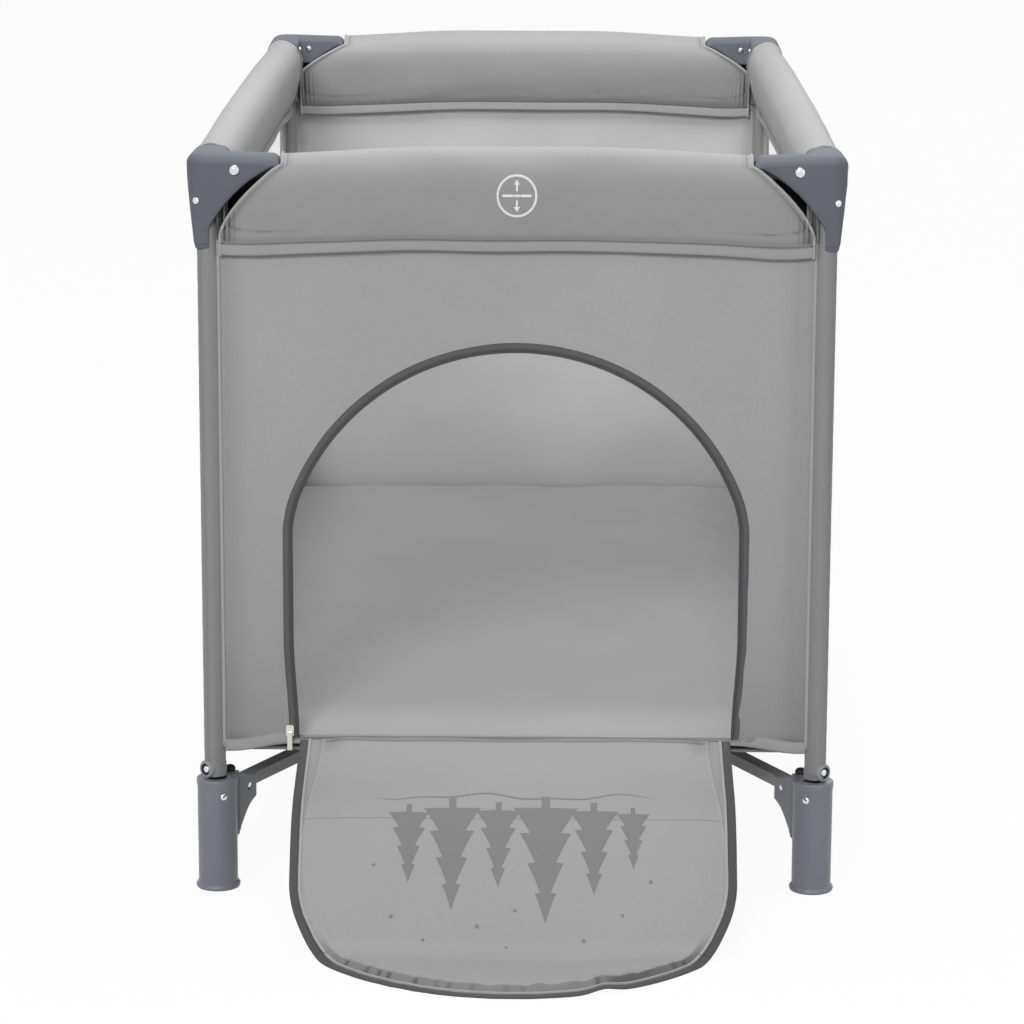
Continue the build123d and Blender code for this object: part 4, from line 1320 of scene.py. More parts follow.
@dataclass
class Walls:
    """Four cloth walls hung between the legs: one with the door, two with net windows."""

    thick: float = 0.0012
    band: float = 0.013
    tuck: float = 0.020
    window_y: float = 0.562
    window_low: float = 0.287
    window_high: float = 0.664
    window_r: float = 0.030
    cell: float = 0.0052
    yarn: float = 0.0007

    @property
    def ends(self) -> tuple[float, float]:
        """Lower and upper edge of a wall's cloth, over the hem and up into the cover."""
        return STANCE.hem + self.band - 0.0008, STANCE.eave + self.tuck

    @property
    def window_middle(self) -> float:
        """Height of the windows' middle."""
        return (self.window_low + self.window_high) / 2

    def sag(self, across: Array, high: Array, half: float, seed: int) -> Array:
        """How far a wall stands out: ripples that fade at its ends, and a dip beside the legs.

        Args:
            across: place along the wall from its middle.
            high: height.
            half: half its length.
            seed: seed of its ripples.

        Returns:
            The distance at each place.
        """
        from_end = half - np.abs(across)
        waves = 0.0011 * ripple(across, high * 0.45, 0.14, seed)
        waves = waves + 0.0004 * ripple(across, high, 0.06, seed + 1)
        return ease(from_end, 0.0, 0.05) * waves - 0.0020 * bell(from_end, 0.012, 0.009)

    def tint(self, across: Array, high: Array, half: float) -> Array:
        """Painted shade: soft shade low down, a dark line above the hem, and darker ends beside the legs."""
        shade = 0.10 * ease(high, 0.290, 0.170) + 0.12 * bell(high, STANCE.hem + self.band, 0.006)
        return 1 - shade - 0.15 * bell(half - np.abs(across), 0.004, 0.018)

    def hem(self, side: Side, rise: float) -> Patch:
        """Hem along a wall's lower edge, a little proud of it.

        Its section is a flat oval that stands out by sin(share * pi)^0.4, and its lower
        edge rises towards the middle of the wall.

        Args:
            side: the wall.
            rise: how far the lower edge rises.

        Returns:
            The hem.
        """
        across = np.linspace(-side.half, side.half, 260)[None, :]
        share = np.linspace(0, 1, 14)[:, None]
        door = np.abs(across)
        low = STANCE.hem + rise * ease(door, 0.292, 0.225) + 0.0006 * ripple(across, 0 * across, 0.1, 3)
        over = rise * ease(door, 0.292, 0.240) * ease(door, 0.229, 0.238)
        high = low + (STANCE.hem + self.band + over - low) * share
        bulge = np.sin(np.pi * share)
        out = side.place + 0.0011 * bulge**0.4 + 0.0005 * ripple(across, high, 0.03, 17) * bulge
        # Painted shade: the hem a little darker overall, with dark lines along its lower and upper edges and
        # just below its top.
        tint = 0.93 - 0.32 * bell(share, 1.0, 0.09) - 0.30 * bell(share, 0.0, 0.10)
        tint = tint - 0.08 * bell(share, 0.86, 0.05)
        across, high, out = np.broadcast_arrays(across, high, out)
        return Patch(side.at(across, out, high), tint=tint, facing=side.out)

    def rays(self, side: Side, inner: Array, centre_z: float, rows: int) -> tuple[Array, Array]:
        """Flat grid between an opening and the wall's edge, ray by ray from the opening's middle.

        The rays include those through the wall's corners, so both outlines keep their
        shape. The last column is the first again.

        Args:
            side: the wall.
            inner: n x 2 outline of the opening, a star seen from its middle.
            centre_z: height of the middle.
            rows: number of rows.

        Returns:
            Places (across, height), and each row's share of the way.
        """
        low, high = self.ends
        left, right = -side.half, side.half
        centre = np.array([0.0, centre_z])
        inner_angle = np.arctan2(*(inner - centre).T[::-1])
        order = np.argsort(inner_angle)
        inner_angle, inner = inner_angle[order], inner[order]
        box = np.array([[left, low], [right, low], [right, high], [left, high]])
        angle = np.unique(np.concatenate([inner_angle, np.arctan2(*(box - centre).T[::-1])]))
        near = np.stack([np.interp(angle, inner_angle, line, period=TURN) for line in inner.T], 1)
        ray = np.stack([np.cos(angle), np.sin(angle)], 1)
        edge = np.where(ray > 0, [right, high], [left, low]) - centre
        with np.errstate(divide="ignore"):
            far = centre + ray * np.abs(edge / ray).min(1)[:, None]
        share = np.linspace(0, 1, rows)[:, None, None]
        flat = near + share * (far - near)
        return np.concatenate([flat, flat[:, :1]], 1), share[..., 0]

    def hang(
        self,
        side: Side,
        cloth: Patch,
        finish: Finish,
        rise: float = 0.0,
        sewn: tuple[Callable[[Side], bpy.types.Object], ...] = (),
    ) -> None:
        """Makes a wall of its cloth and hem.

        Args:
            side: the wall.
            cloth: its grid.
            finish: its finish.
            rise: how far its hem rises in the middle.
            sewn: methods that make the separate pieces sewn to it.
        """
        patches = [cloth, self.hem(side, rise)]
        piece = make_piece(f"{side.name}_wall", patches, [finish], side.body)
        solidify(piece, self.thick)
        extra = [make(side) for make in sewn]
        for part in (piece, *extra):
            draw_in(part)
        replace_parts(piece, f"wall_{side.name}")

    def front(self, side: Side) -> None:
        """Front wall: rays from the door's middle.

        Args:
            side: the wall.
        """
        outline, _ = DOOR.line(400, 0.0008, DOOR.sill)
        foot = np.linspace(-DOOR.half, DOOR.half, 60)[1:-1]
        sill = np.stack([foot, np.full(58, DOOR.sill)], 1)
        flat, share = self.rays(side, np.concatenate([outline, sill]), 0.36, 44)
        x, z = flat[..., 0], flat[..., 1]
        lift = self.sag(x, z, side.half, 11) * ease(share, 0.0, 0.15)
        # More painted shade towards the bottom of the front wall.
        tint = self.tint(x, z, side.half) * (1 - 0.12 * ease(z, 0.62, 0.17))
        cloth = Patch(side.at(pinched(x, z), side.place + lift, z), uv=flat, tint=tint, facing=side.out)
        self.hang(side, cloth, Finish.WALL, rise=0.008)

    def back(self, side: Side) -> None:
        """Back wall: a plain grid.

        Args:
            side: the wall.
        """
        x, z = np.meshgrid(np.linspace(-side.half, side.half, 120), np.linspace(*self.ends, 96))
        points = side.at(x, side.place + self.sag(x, z, side.half, 21), z)
        tint = self.tint(x, z, side.half)
        # The back wall's finish is the wall cloth painted lighter, as painted light.
        self.hang(side, Patch(points, uv=np.stack([x, z], -1), tint=tint, facing=side.out), Finish.BACK)

    def window(self) -> Array:
        """Outline of a net window: a rectangle with round corners.

        Returns:
            n x 2 points (y, z).
        """
        tall = (self.window_high - self.window_low) / 2 - self.window_r
        long = self.window_y - self.window_r
        turn = np.concatenate([np.linspace(0, np.pi / 2, 14) + i * np.pi / 2 for i in range(4)])
        y = np.repeat([1, -1, -1, 1], 14) * long + self.window_r * np.cos(turn)
        z = np.repeat([1, 1, -1, -1], 14) * tall + self.window_r * np.sin(turn)
        return np.stack([y, self.window_middle + z], 1)

    def side(self, side: Side) -> None:
        """Side wall: cloth round a net window, with a binding over the net's edge.

        Args:
            side: the wall.
        """
        outline = self.window()
        dense = np.linspace(0, 1, 8, endpoint=False)[None, :, None]
        filled = outline[:, None] + dense * (np.roll(outline, -1, 0) - outline)[:, None]
        flat, share = self.rays(side, filled.reshape(-1, 2), self.window_middle, 26)
        y, z = flat[..., 0], flat[..., 1]
        lift = self.sag(y, z, side.half, 31 + side.sign) * ease(share, 0, 0.3)
        tint = self.tint(y, z, side.half)
        cloth = Patch(side.at(y, side.place + lift, z), uv=flat, tint=tint, facing=side.out)
        self.hang(side, cloth, Finish.WALL, sewn=(self.window_binding, self.net))

    def window_binding(self, side: Side) -> bpy.types.Object:
        """Binding over the net's edge: a flat oval carried round the window.

        Args:
            side: the wall.

        Returns:
            The binding.
        """
        outline = self.window()
        line = np.concatenate([outline, outline[:1]])
        path = side.at(line[:, 0], np.full(len(line), side.place - 0.0006), line[:, 1])
        rim = carry(path, round_profile(0.0016, 0.0055, 12, 0.7)[:, ::-1], side.out)
        rim[-1] = rim[0]
        name = f"{side.name}_window_binding"
        return make_piece(name, [Patch(rim, ring=True)], [Finish.PIPING], side.body)

    def net(self, side: Side) -> bpy.types.Object:
        """Net of flat yarns along the edges of a honeycomb.

        Each cell of the honeycomb gives three yarns: one upright on its right and two
        slanting from its top. A yarn is a thin rectangle along its edge.

        Args:
            side: the wall.

        Returns:
            The net.
        """
        pitch, edge = self.cell, self.cell / math.sqrt(3)
        tall = self.window_high - self.window_low
        rows, columns = int(tall / (1.5 * edge)) + 4, int(2 * self.window_y / pitch) + 4
        j, i = np.meshgrid(np.arange(rows), np.arange(columns), indexing="ij")
        cell = np.stack([pitch * (i + 0.5 * (j % 2)), 1.5 * edge * j], -1).reshape(-1, 2)
        cell = cell + [-self.window_y - pitch, self.window_low - 2 * edge]
        top, under, right, left = (
            cell + step
            for step in ([0, edge], [pitch / 2, -edge / 2], [pitch / 2, edge / 2], [-pitch / 2, edge / 2])
        )
        starts, ends = np.concatenate([under, top, top]), np.concatenate([right, right, left])
        reach = np.array([self.window_y, tall / 2]) + 0.003 - self.window_r
        over = np.abs((starts + ends) / 2 - [0, self.window_middle]) - reach
        inside = np.linalg.norm(np.clip(over, 0, None), axis=1) < self.window_r
        starts, ends = (
            p + 0.0006 * np.stack([ripple(*p.T, 0.09, 3), ripple(*p.T, 0.07, 4)], 1)
            for p in (starts[inside], ends[inside])
        )
        way = unit(ends - starts)
        across = np.stack([-way[:, 1], way[:, 0]], 1) * self.yarn / 2
        quads = np.stack([starts - across, ends - across, ends + across, starts + across], 1).reshape(-1, 2)
        stand = side.place - 0.0008 + 0.0012 * ripple(*quads.T, 0.2, 9)
        faces = np.arange(len(quads)).reshape(-1, 4)[:, :: side.sign]
        points = side.at(quads[:, 0], stand, quads[:, 1])
        mesh = cloth_mesh(f"{side.name}_net", points, faces, quads[faces.ravel()], np.ones(len(points)))
        mesh.materials.append(Finish.NET.material())
        return add_piece(mesh, side.body)

    def build(self) -> None:
        """Makes the four walls."""
        front, side = STANCE.leg_y + STANCE.wall_out, STANCE.leg_x + STANCE.wall_out
        self.front(Side("front", "leg_fl", X, -Y, STANCE.wall_end, front))
        self.back(Side("back", "leg_bl", X, Y, STANCE.wall_end, front))
        self.side(Side("left", "leg_fl", Y, -X, STANCE.side_end, side))
        self.side(Side("right", "leg_fr", Y, X, STANCE.side_end, side))


@dataclass
class ZipTape:
    """Zip's fixed half round the doorway: a woven tape with a coil on its inner edge."""

    inner: float = 0.0002
    wide: float = 0.0103
    thick: float = 0.0011
    coil_r: float = 0.0011
    coil_at: float = 0.0016
    pitch: float = 0.0017
    length: float = 1.07

    def build(self) -> None:
        """Makes the tape and coil and sews them on the front wall."""
        front = -STANCE.leg_y - STANCE.wall_out - 0.0001
        across = np.concatenate([np.linspace(0, 1, 14), np.linspace(1, 0, 14)])
        swell = np.concatenate([self.thick * np.sqrt(1 - (2 * across[:14] - 1) ** 4), np.zeros(14)])
        line, normal = DOOR.line(500, 0.0, DOOR.sill)
        place = self.inner + self.wide * across
        x, z = np.moveaxis(line[:, None] + place[None, :, None] * normal[:, None], -1, 0)
        tape = np.stack([pinched(x, z), np.broadcast_to(front - swell, x.shape), z], -1)
        tint = np.where(across < 0.42, 0.68, 1.0) - 0.25 * bell(across, 0.45, 0.04)
        tint = tint - 0.2 * bell(across, 0.95, 0.04)
        uv = np.meshgrid(np.linspace(0, self.length, 500), np.append(place, place[0]), indexing="ij")
        line, _ = DOOR.line(3000, self.coil_at, DOOR.sill)
        turns = np.pi * np.linspace(0, self.length, 3000)[:, None, None] / self.pitch
        thread = self.coil_r * (0.82 + 0.28 * np.abs(np.sin(turns)))
        path = np.column_stack([pinched(*line.T), np.full(3000, front - self.thick), line[:, 1]])
        coil = closed_ends(carry(path, thread * round_profile(1, 0.75, 6), -Y))
        patches = [Patch(tape, uv=np.stack(uv, -1), tint=tint, ring=True), Patch(coil, ring=True, finish=1)]
        piece = make_piece("doorway_zip", patches, [Finish.TAPE, Finish.COIL], "leg_fl")
        draw_in(piece)
        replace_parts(piece, "zip_tape")


def fir(share: Array, wide: float) -> Array:
    """Half width of a fir from foot to tip: a trunk, then four steps that narrow to nothing.

    Args:
        share: share of its height.
        wide: half width of its lowest leaves.

    Returns:
        The half width at each share.
    """
    leaf = np.clip((share - 0.12) / 0.88, 0, 1)
    saw = 1 - (leaf * 4) % 1
    body = wide * ((1 - leaf) * 0.62 + 0.38 * saw * (1 - leaf * 0.75))
    return np.where(share < 0.12, wide * 0.13, body * (leaf < 0.999))


def dot(share: Array, radius: float) -> Array:
    """Half width of a round dot, radius * sqrt(1 - (2 share - 1)^2)."""
    return radius * np.sqrt(np.clip(1 - (2 * share - 1) ** 2, 0, None))


FIRS = (  # middle, foot, height and half width
    (-0.104, 0.132, 0.086, 0.021), (-0.061, 0.122, 0.124, 0.029), (-0.015, 0.129, 0.094, 0.023),
    (0.032, 0.119, 0.140, 0.033), (0.080, 0.128, 0.102, 0.025), (0.119, 0.135, 0.068, 0.017),
)
DOTS = (  # middle, distance from the hinge and radius
    (-0.120, 0.252, 0.0022), (-0.088, 0.276, 0.0018), (-0.035, 0.262, 0.0024),
    (0.002, 0.246, 0.0018), (0.070, 0.276, 0.0022), (0.108, 0.250, 0.0018),
    (0.136, 0.216, 0.0022), (-0.138, 0.200, 0.0018), (-0.006, 0.284, 0.0016),
)
PUCKERS = (  # place across the tip's edge and depth
    (-0.173, 1.0), (-0.151, 0.8), (-0.138, 0.9), (-0.128, 0.9), (-0.100, 1.0), (-0.078, 0.35), (-0.065, 0.5),
    (-0.041, 0.4), (-0.006, 0.35), (0.011, 0.4), (0.088, 0.8), (0.168, 0.6), (0.179, 1.0),
)


@dataclass
class Flap:
    """Door panel, zipped open: it leans out over the sill, drops and lies on the floor."""

    hinge_y: float = -0.6068
    hinge_z: float = 0.159
    upper_lean: float = math.radians(77.3)
    lower_lean: float = math.radians(32.7)
    knees: tuple[float, float] = (0.150, 0.291)
    laps: tuple[float, float, float] = (0.0, 0.005, 0.012)
    knee_r: float = 0.10
    foot_r: float = 0.035
    rest_z: float = 0.0018
    thick: float = 0.0018
    inset: float = 0.0060
    binding: float = 0.0092
    track: tuple[Array, ...] = field(init=False)
    rim: Array = field(init=False)

    def __post_init__(self) -> None:
        """Works out the panel's line from the hinge to its tip, and its rim.

        Its lean from straight down goes from the upper to the lower lean round the
        first knee, then up to a right angle round the foot, whose arc starts where
        the height left is foot_r * (1 - sin of the lower lean).
        """
        along = np.linspace(0, 0.45, 4501)
        step = along[1]
        spread = self.knee_r * (self.upper_lean - self.lower_lean) / 2
        turn = np.clip((along - self.knees[0] + spread) / (2 * spread), 0, 1)
        lean = self.upper_lean + (self.lower_lean - self.upper_lean) * turn
        height = self.hinge_z - np.cumsum(np.cos(lean)) * step
        start = along[np.argmax(height < self.rest_z + self.foot_r * (1 - math.sin(self.lower_lean)))]
        rolled = np.minimum(self.lower_lean + (along - start) / self.foot_r, np.pi / 2)
        lean = np.where(along > start, rolled, lean)
        out, down = (np.concatenate([[0], np.cumsum(f(lean[:-1]))]) * step for f in (np.sin, np.cos))
        self.track = (along, self.hinge_y - out, self.hinge_z - down, lean)
        self.rim = self.edge(361, 0.0)[0][180:]

    def lay(self, x: Array, along: Array, lift: Array) -> Array:
        """Bends the flat panel along its line.

        Args:
            x: place across.
            along: distance from the hinge.
            lift: height above the panel's middle sheet.

        Returns:
            Points in space.
        """
        x, along, lift = np.broadcast_arrays(x, along, lift)
        y, z, lean = (np.interp(along, self.track[0], values) for values in self.track[1:])
        return np.stack([x, y - lift * np.cos(lean), z + lift * np.sin(lean)], -1)

    def edge(self, count: int, offset: float) -> tuple[Array, Array]:
        """Panel's outline (x, along) and outward normals, a parallel of the door's."""
        line, normal = DOOR.line(count, offset - self.inset, self.hinge_z + 0.0005)
        return line - [0, self.hinge_z], normal

    def from_edge(self, x: Array, along: Array) -> tuple[Array, Array]:
        """Distance from the rim, and the place on it, measured from the tip's middle.

        Each point is measured against the nearest of the rim's short pieces: square to
        it for the distance and along it for the place.

        Args:
            x: place across.
            along: distance from the hinge.

        Returns:
            The distance, and the place with the sign of x.
        """
        ways = unit(np.diff(self.rim, axis=0))
        flat = np.stack([np.abs(x).ravel(), along.ravel()], 1)
        away = (flat[:, :1] - self.rim[:, 0]) ** 2 + (flat[:, 1:] - self.rim[:, 1]) ** 2
        near = np.minimum(away.argmin(1), len(ways) - 1)
        past = flat - self.rim[near]
        square = np.abs(past[:, 0] * ways[near, 1] - past[:, 1] * ways[near, 0])
        run = run_of(self.rim)[near] + (past * ways[near]).sum(1)
        return square.reshape(x.shape), (run * np.sign(x.ravel())).reshape(x.shape)

    def wave(self, x: Array, along: Array) -> Array:
        """Lift of the tip's edge where it doesn't lie flat: a bell over x that grows to the tip."""
        return 0.0046 * bell(x, 0.090, 0.015) * ease(along, 0.325, 0.395)

    def pucker(self, edge: Array, place: Array) -> Array:
        """Short folds that run in from the tip's edge, a bell across each, wider further in.

        Args:
            edge: distance from the rim.
            place: place along the rim.

        Returns:
            Their depth, 0 to about 1.
        """
        spots, depths = np.array(PUCKERS).T
        marks = np.sign(spots) * np.interp(np.abs(spots), self.rim[:, 0], run_of(self.rim))
        drift = 0.0010 * (edge - 0.012) / 0.004
        folds = sum(depth * bell(place - mark, drift, 0.0026) for mark, depth in zip(marks, depths))
        return folds * ease(edge, 0.0100, 0.0125) * ease(edge, 0.0265, 0.0135)

    def relief(self, x: Array, along: Array) -> tuple[Array, Array]:
        """Soft padding, creases, hem folds and puckers of the panel.

        The padding rises from the edge, behind a sunk channel beside the long sides
        and a shaded step round the tip, where short puckers run in from the edge.

        Args:
            x: place across.
            along: distance from the hinge.

        Returns:
            Height above the middle sheet, and tint: painted shade in the puckers, notch, channel, step, hinge
                line and the hinge's corners, and a painted highlight on the tuck's ridge.
        """
        x, along = np.broadcast_arrays(x, along)
        edge, place = self.from_edge(x, along)
        side = DOOR.half - self.inset - np.abs(x)
        tip = ease(along, 0.262, 0.300)
        front = ease(along, 0.270, 0.325) * (1 - 0.75 * ease(edge, 0.022, 0.085))
        swell = ease(edge, 0.0108, 0.0178) * (1 + 0.16 * ripple(place, 0 * place, 0.020, 71))
        puff = 0.0024 * ease(edge, 0.006, 0.040) + 0.0062 * front * swell
        tuck_at = 0.0145 * ease(along, 0.235, 0.02) + 0.0085
        tuck = bell(side, tuck_at, 0.0012) * ease(along, 0.24, 0.14)
        band = ease(side, tuck_at + 0.001, tuck_at - 0.001) * ease(along, 0.235, 0.12)
        pucker = self.pucker(edge, place) * tip
        # Where the step round the tip gets painted shade.
        step = ease(edge, 0.0190, 0.0165) * tip
        notch = bell(x, 0.112, 0.018) * bell(edge, 0.0150, 0.0055) * tip
        broad = ripple(x, along, 0.13, 44) * ease(edge, 0.01, 0.06)
        ends = bell(np.abs(x), 0.190, 0.011) * bell(along, 0.012, 0.016)
        # Where the line along the hinge gets painted shade.
        hinge_shade = bell(along, 0.004, 0.0024) * ease(np.abs(x), 0.206, 0.186)
        lift = puff + 0.0009 * (broad + tuck) - 0.0014 * pucker - 0.0012 * notch - 0.0005 * band
        lift = np.maximum(lift - 0.0016 * ends, 0.0) + self.wave(x, along)
        # Painted highlight on the tuck's ridge; painted shade in the channel, puckers, notch and the hinge's
        # corners, then on the step and along the hinge.
        tint = 1 + 0.10 * (tuck - band) - 0.42 * np.minimum(pucker, 1.2) - 0.40 * notch - 0.20 * ends
        tint = tint - step * (0.38 + 0.18 * ease(x, 0.085, 0.120))
        return lift, np.maximum(tint - 0.52 * hinge_shade, 0.3)

    def half_outline(self) -> tuple[Array, Array]:
        """Half widths of the sheet under its binding, and their distances from the hinge."""
        return self.edge(1201, 0.0025 - self.binding)[0][600:].T

    def panel(self, knee: float, stop: float, lap: float) -> Patch:
        """Grid of the panel from a knee to another distance from the hinge.

        It starts a little before its knee, under the sheet before it. The tip's rows run
        from there to its round edge, the others' straight across.

        Args:
            knee: distance of the knee from the hinge.
            stop: where it ends, infinite for the tip.
            lap: how far before the knee it starts.

        Returns:
            The patch.
        """
        wide, far = self.half_outline()
        start, tip = knee - lap, stop == math.inf
        sine = np.sin(np.linspace(-np.pi / 2, np.pi / 2, 321 if tip else 241))[None, :]
        if tip:
            x = np.interp(start, far[::-1], wide[::-1]) * sine
            along = start + np.linspace(0, 1, 156)[:, None] * (np.interp(np.abs(x), wide, far) - start)
        else:
            along = np.linspace(start, stop, int((stop - start) / 0.0018))[:, None]
            x = np.interp(along, far[::-1], wide[::-1]) * sine
        return self.sheet(x, along, self.thick / 2 - 0.0021 * ease(along, knee, knee - 0.0015), 0)

    def sheet(self, x: Array, along: Array, proud: Array | float, finish: int) -> Patch:
        """Grid that lies on the panel's relief.

        Args:
            x: place across.
            along: distance from the hinge.
            proud: height above the relief.
            finish: number of its finish; only the cloth's own has a tint.

        Returns:
            The patch.
        """
        x, along = np.broadcast_arrays(x, along)
        lift, tint = self.relief(x, along)
        uv = np.stack([x, along], -1)
        points = self.lay(x, along, lift + proud)
        return Patch(points, uv=uv, tint=1.0 if finish else tint, finish=finish, facing=UP_FRONT)

    def edging(self, start: float, stop: float) -> list[Patch]:
        """Dark binding and pale piping along the edge between two distances from the hinge.

        Args:
            start: distance of its start.
            stop: distance of its end, infinite round the tip.

        Returns:
            One patch for each run of each band.
        """
        found = []
        for offset, half, rise, lift, finish, sides in (
            (-self.binding / 2 + 0.0004, self.binding / 2, 0.00125, 0.0, 1, 16),
            (-self.binding - 0.0008, 0.0016, 0.0017, 0.0010, 2, 8),
        ):
            line, normal = self.edge(1400, offset)
            inside = (line[:, 1] >= start - 0.0007) & (line[:, 1] <= stop + 0.0007)
            runs = [inside] if stop == math.inf else [inside & (sign * line[:, 0] > 0) for sign in (-1, 1)]
            profile = round_profile(half, rise, sides, 0.6)
            for run in runs:
                x, along = np.moveaxis(line[run][:, None] + profile[:, :1] * normal[run][:, None], -1, 0)
                uneven = 0.0003 * np.abs(ripple(x + along, x * 0, 0.05, 8))
                height = np.maximum(profile[:, 1], -0.0010) + lift + uneven + self.wave(x, along)
                found.append(Patch(closed_ends(self.lay(x, along, height)), ring=True, finish=finish))
        return found

    def motif(
        self,
        start: float,
        stop: float,
        middle: float,
        low: float,
        tall: float,
        half: Callable[[Array], Array],
    ) -> list[Patch]:
        """One printed shape, cut to a part of the panel.

        Args:
            start: where the part of the panel starts.
            stop: where it ends.
            middle: the shape's place across.
            low: distance from the hinge where the shape starts.
            tall: its height.
            half: its half width over the share of its height.

        Returns:
            The patch, or none where the part holds none of the shape.
        """
        first, last = max(low, start), min(low + tall, stop)
        if last - first < 0.0003:
            return []
        along = np.linspace(first, last, max(int((last - first) / 0.0008), 6))[:, None]
        x = middle + half((along - low) / tall) * np.linspace(-1, 1, 7)
        return [self.sheet(x, along, self.thick / 2 + 0.00012, 3)]

    def motifs(self, start: float, stop: float) -> list[Patch]:
        """Plain fir trees and dots of a part of the panel, upside down while it is open.

        Args:
            start: where the part starts.
            stop: where it ends.

        Returns:
            The patches.
        """
        found = []
        for middle, foot, tall, wide in FIRS:
            found += self.motif(start, stop, middle, foot, tall, lambda share: fir(share, wide))
        for middle, spot, radius in DOTS:
            low, tall = spot - radius, 2 * radius
            found += self.motif(start, stop, middle, low, tall, lambda share: dot(share, radius))
        return found

    def ground(self) -> Patch:
        """Printed line of low hills: a band that follows two sine waves.

        Returns:
            The band.
        """
        x = np.linspace(-0.140, 0.140, 160)[None, :]
        level = 0.120 + 0.0035 * np.sin(x * 42) + 0.002 * np.sin(x * 95 + 1)
        thick = 0.0013 * np.sqrt(np.clip(1 - (x / 0.1405) ** 2, 0, 1))
        return self.sheet(x, level + np.linspace(-1, 1, 4)[:, None] * thick, self.thick / 2 + 0.00010, 3)

    def build(self) -> None:
        """Makes the panel's three pieces with their edging and print."""
        finishes = [Finish.FLAP, Finish.BINDING, Finish.PIPING, Finish.INK]
        names, knees = ("upper", "middle", "tip"), (0.0, *self.knees)
        for name, start, stop, lap in zip(names, knees, (*self.knees, math.inf), self.laps):
            body = f"flap_{name}"
            panel = self.panel(start, stop, lap)
            sheet = make_piece(f"door_panel_{name}", [panel], finishes, body)
            solidify(sheet, self.thick)
            trim = self.edging(start, stop) + self.motifs(start, stop)
            if name == "upper":
                trim.append(self.ground())
            edge = make_piece(f"door_trim_{name}", trim, finishes, body, 60)
            for piece in (sheet, edge):
                draw_in(piece)
            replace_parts(sheet, body)


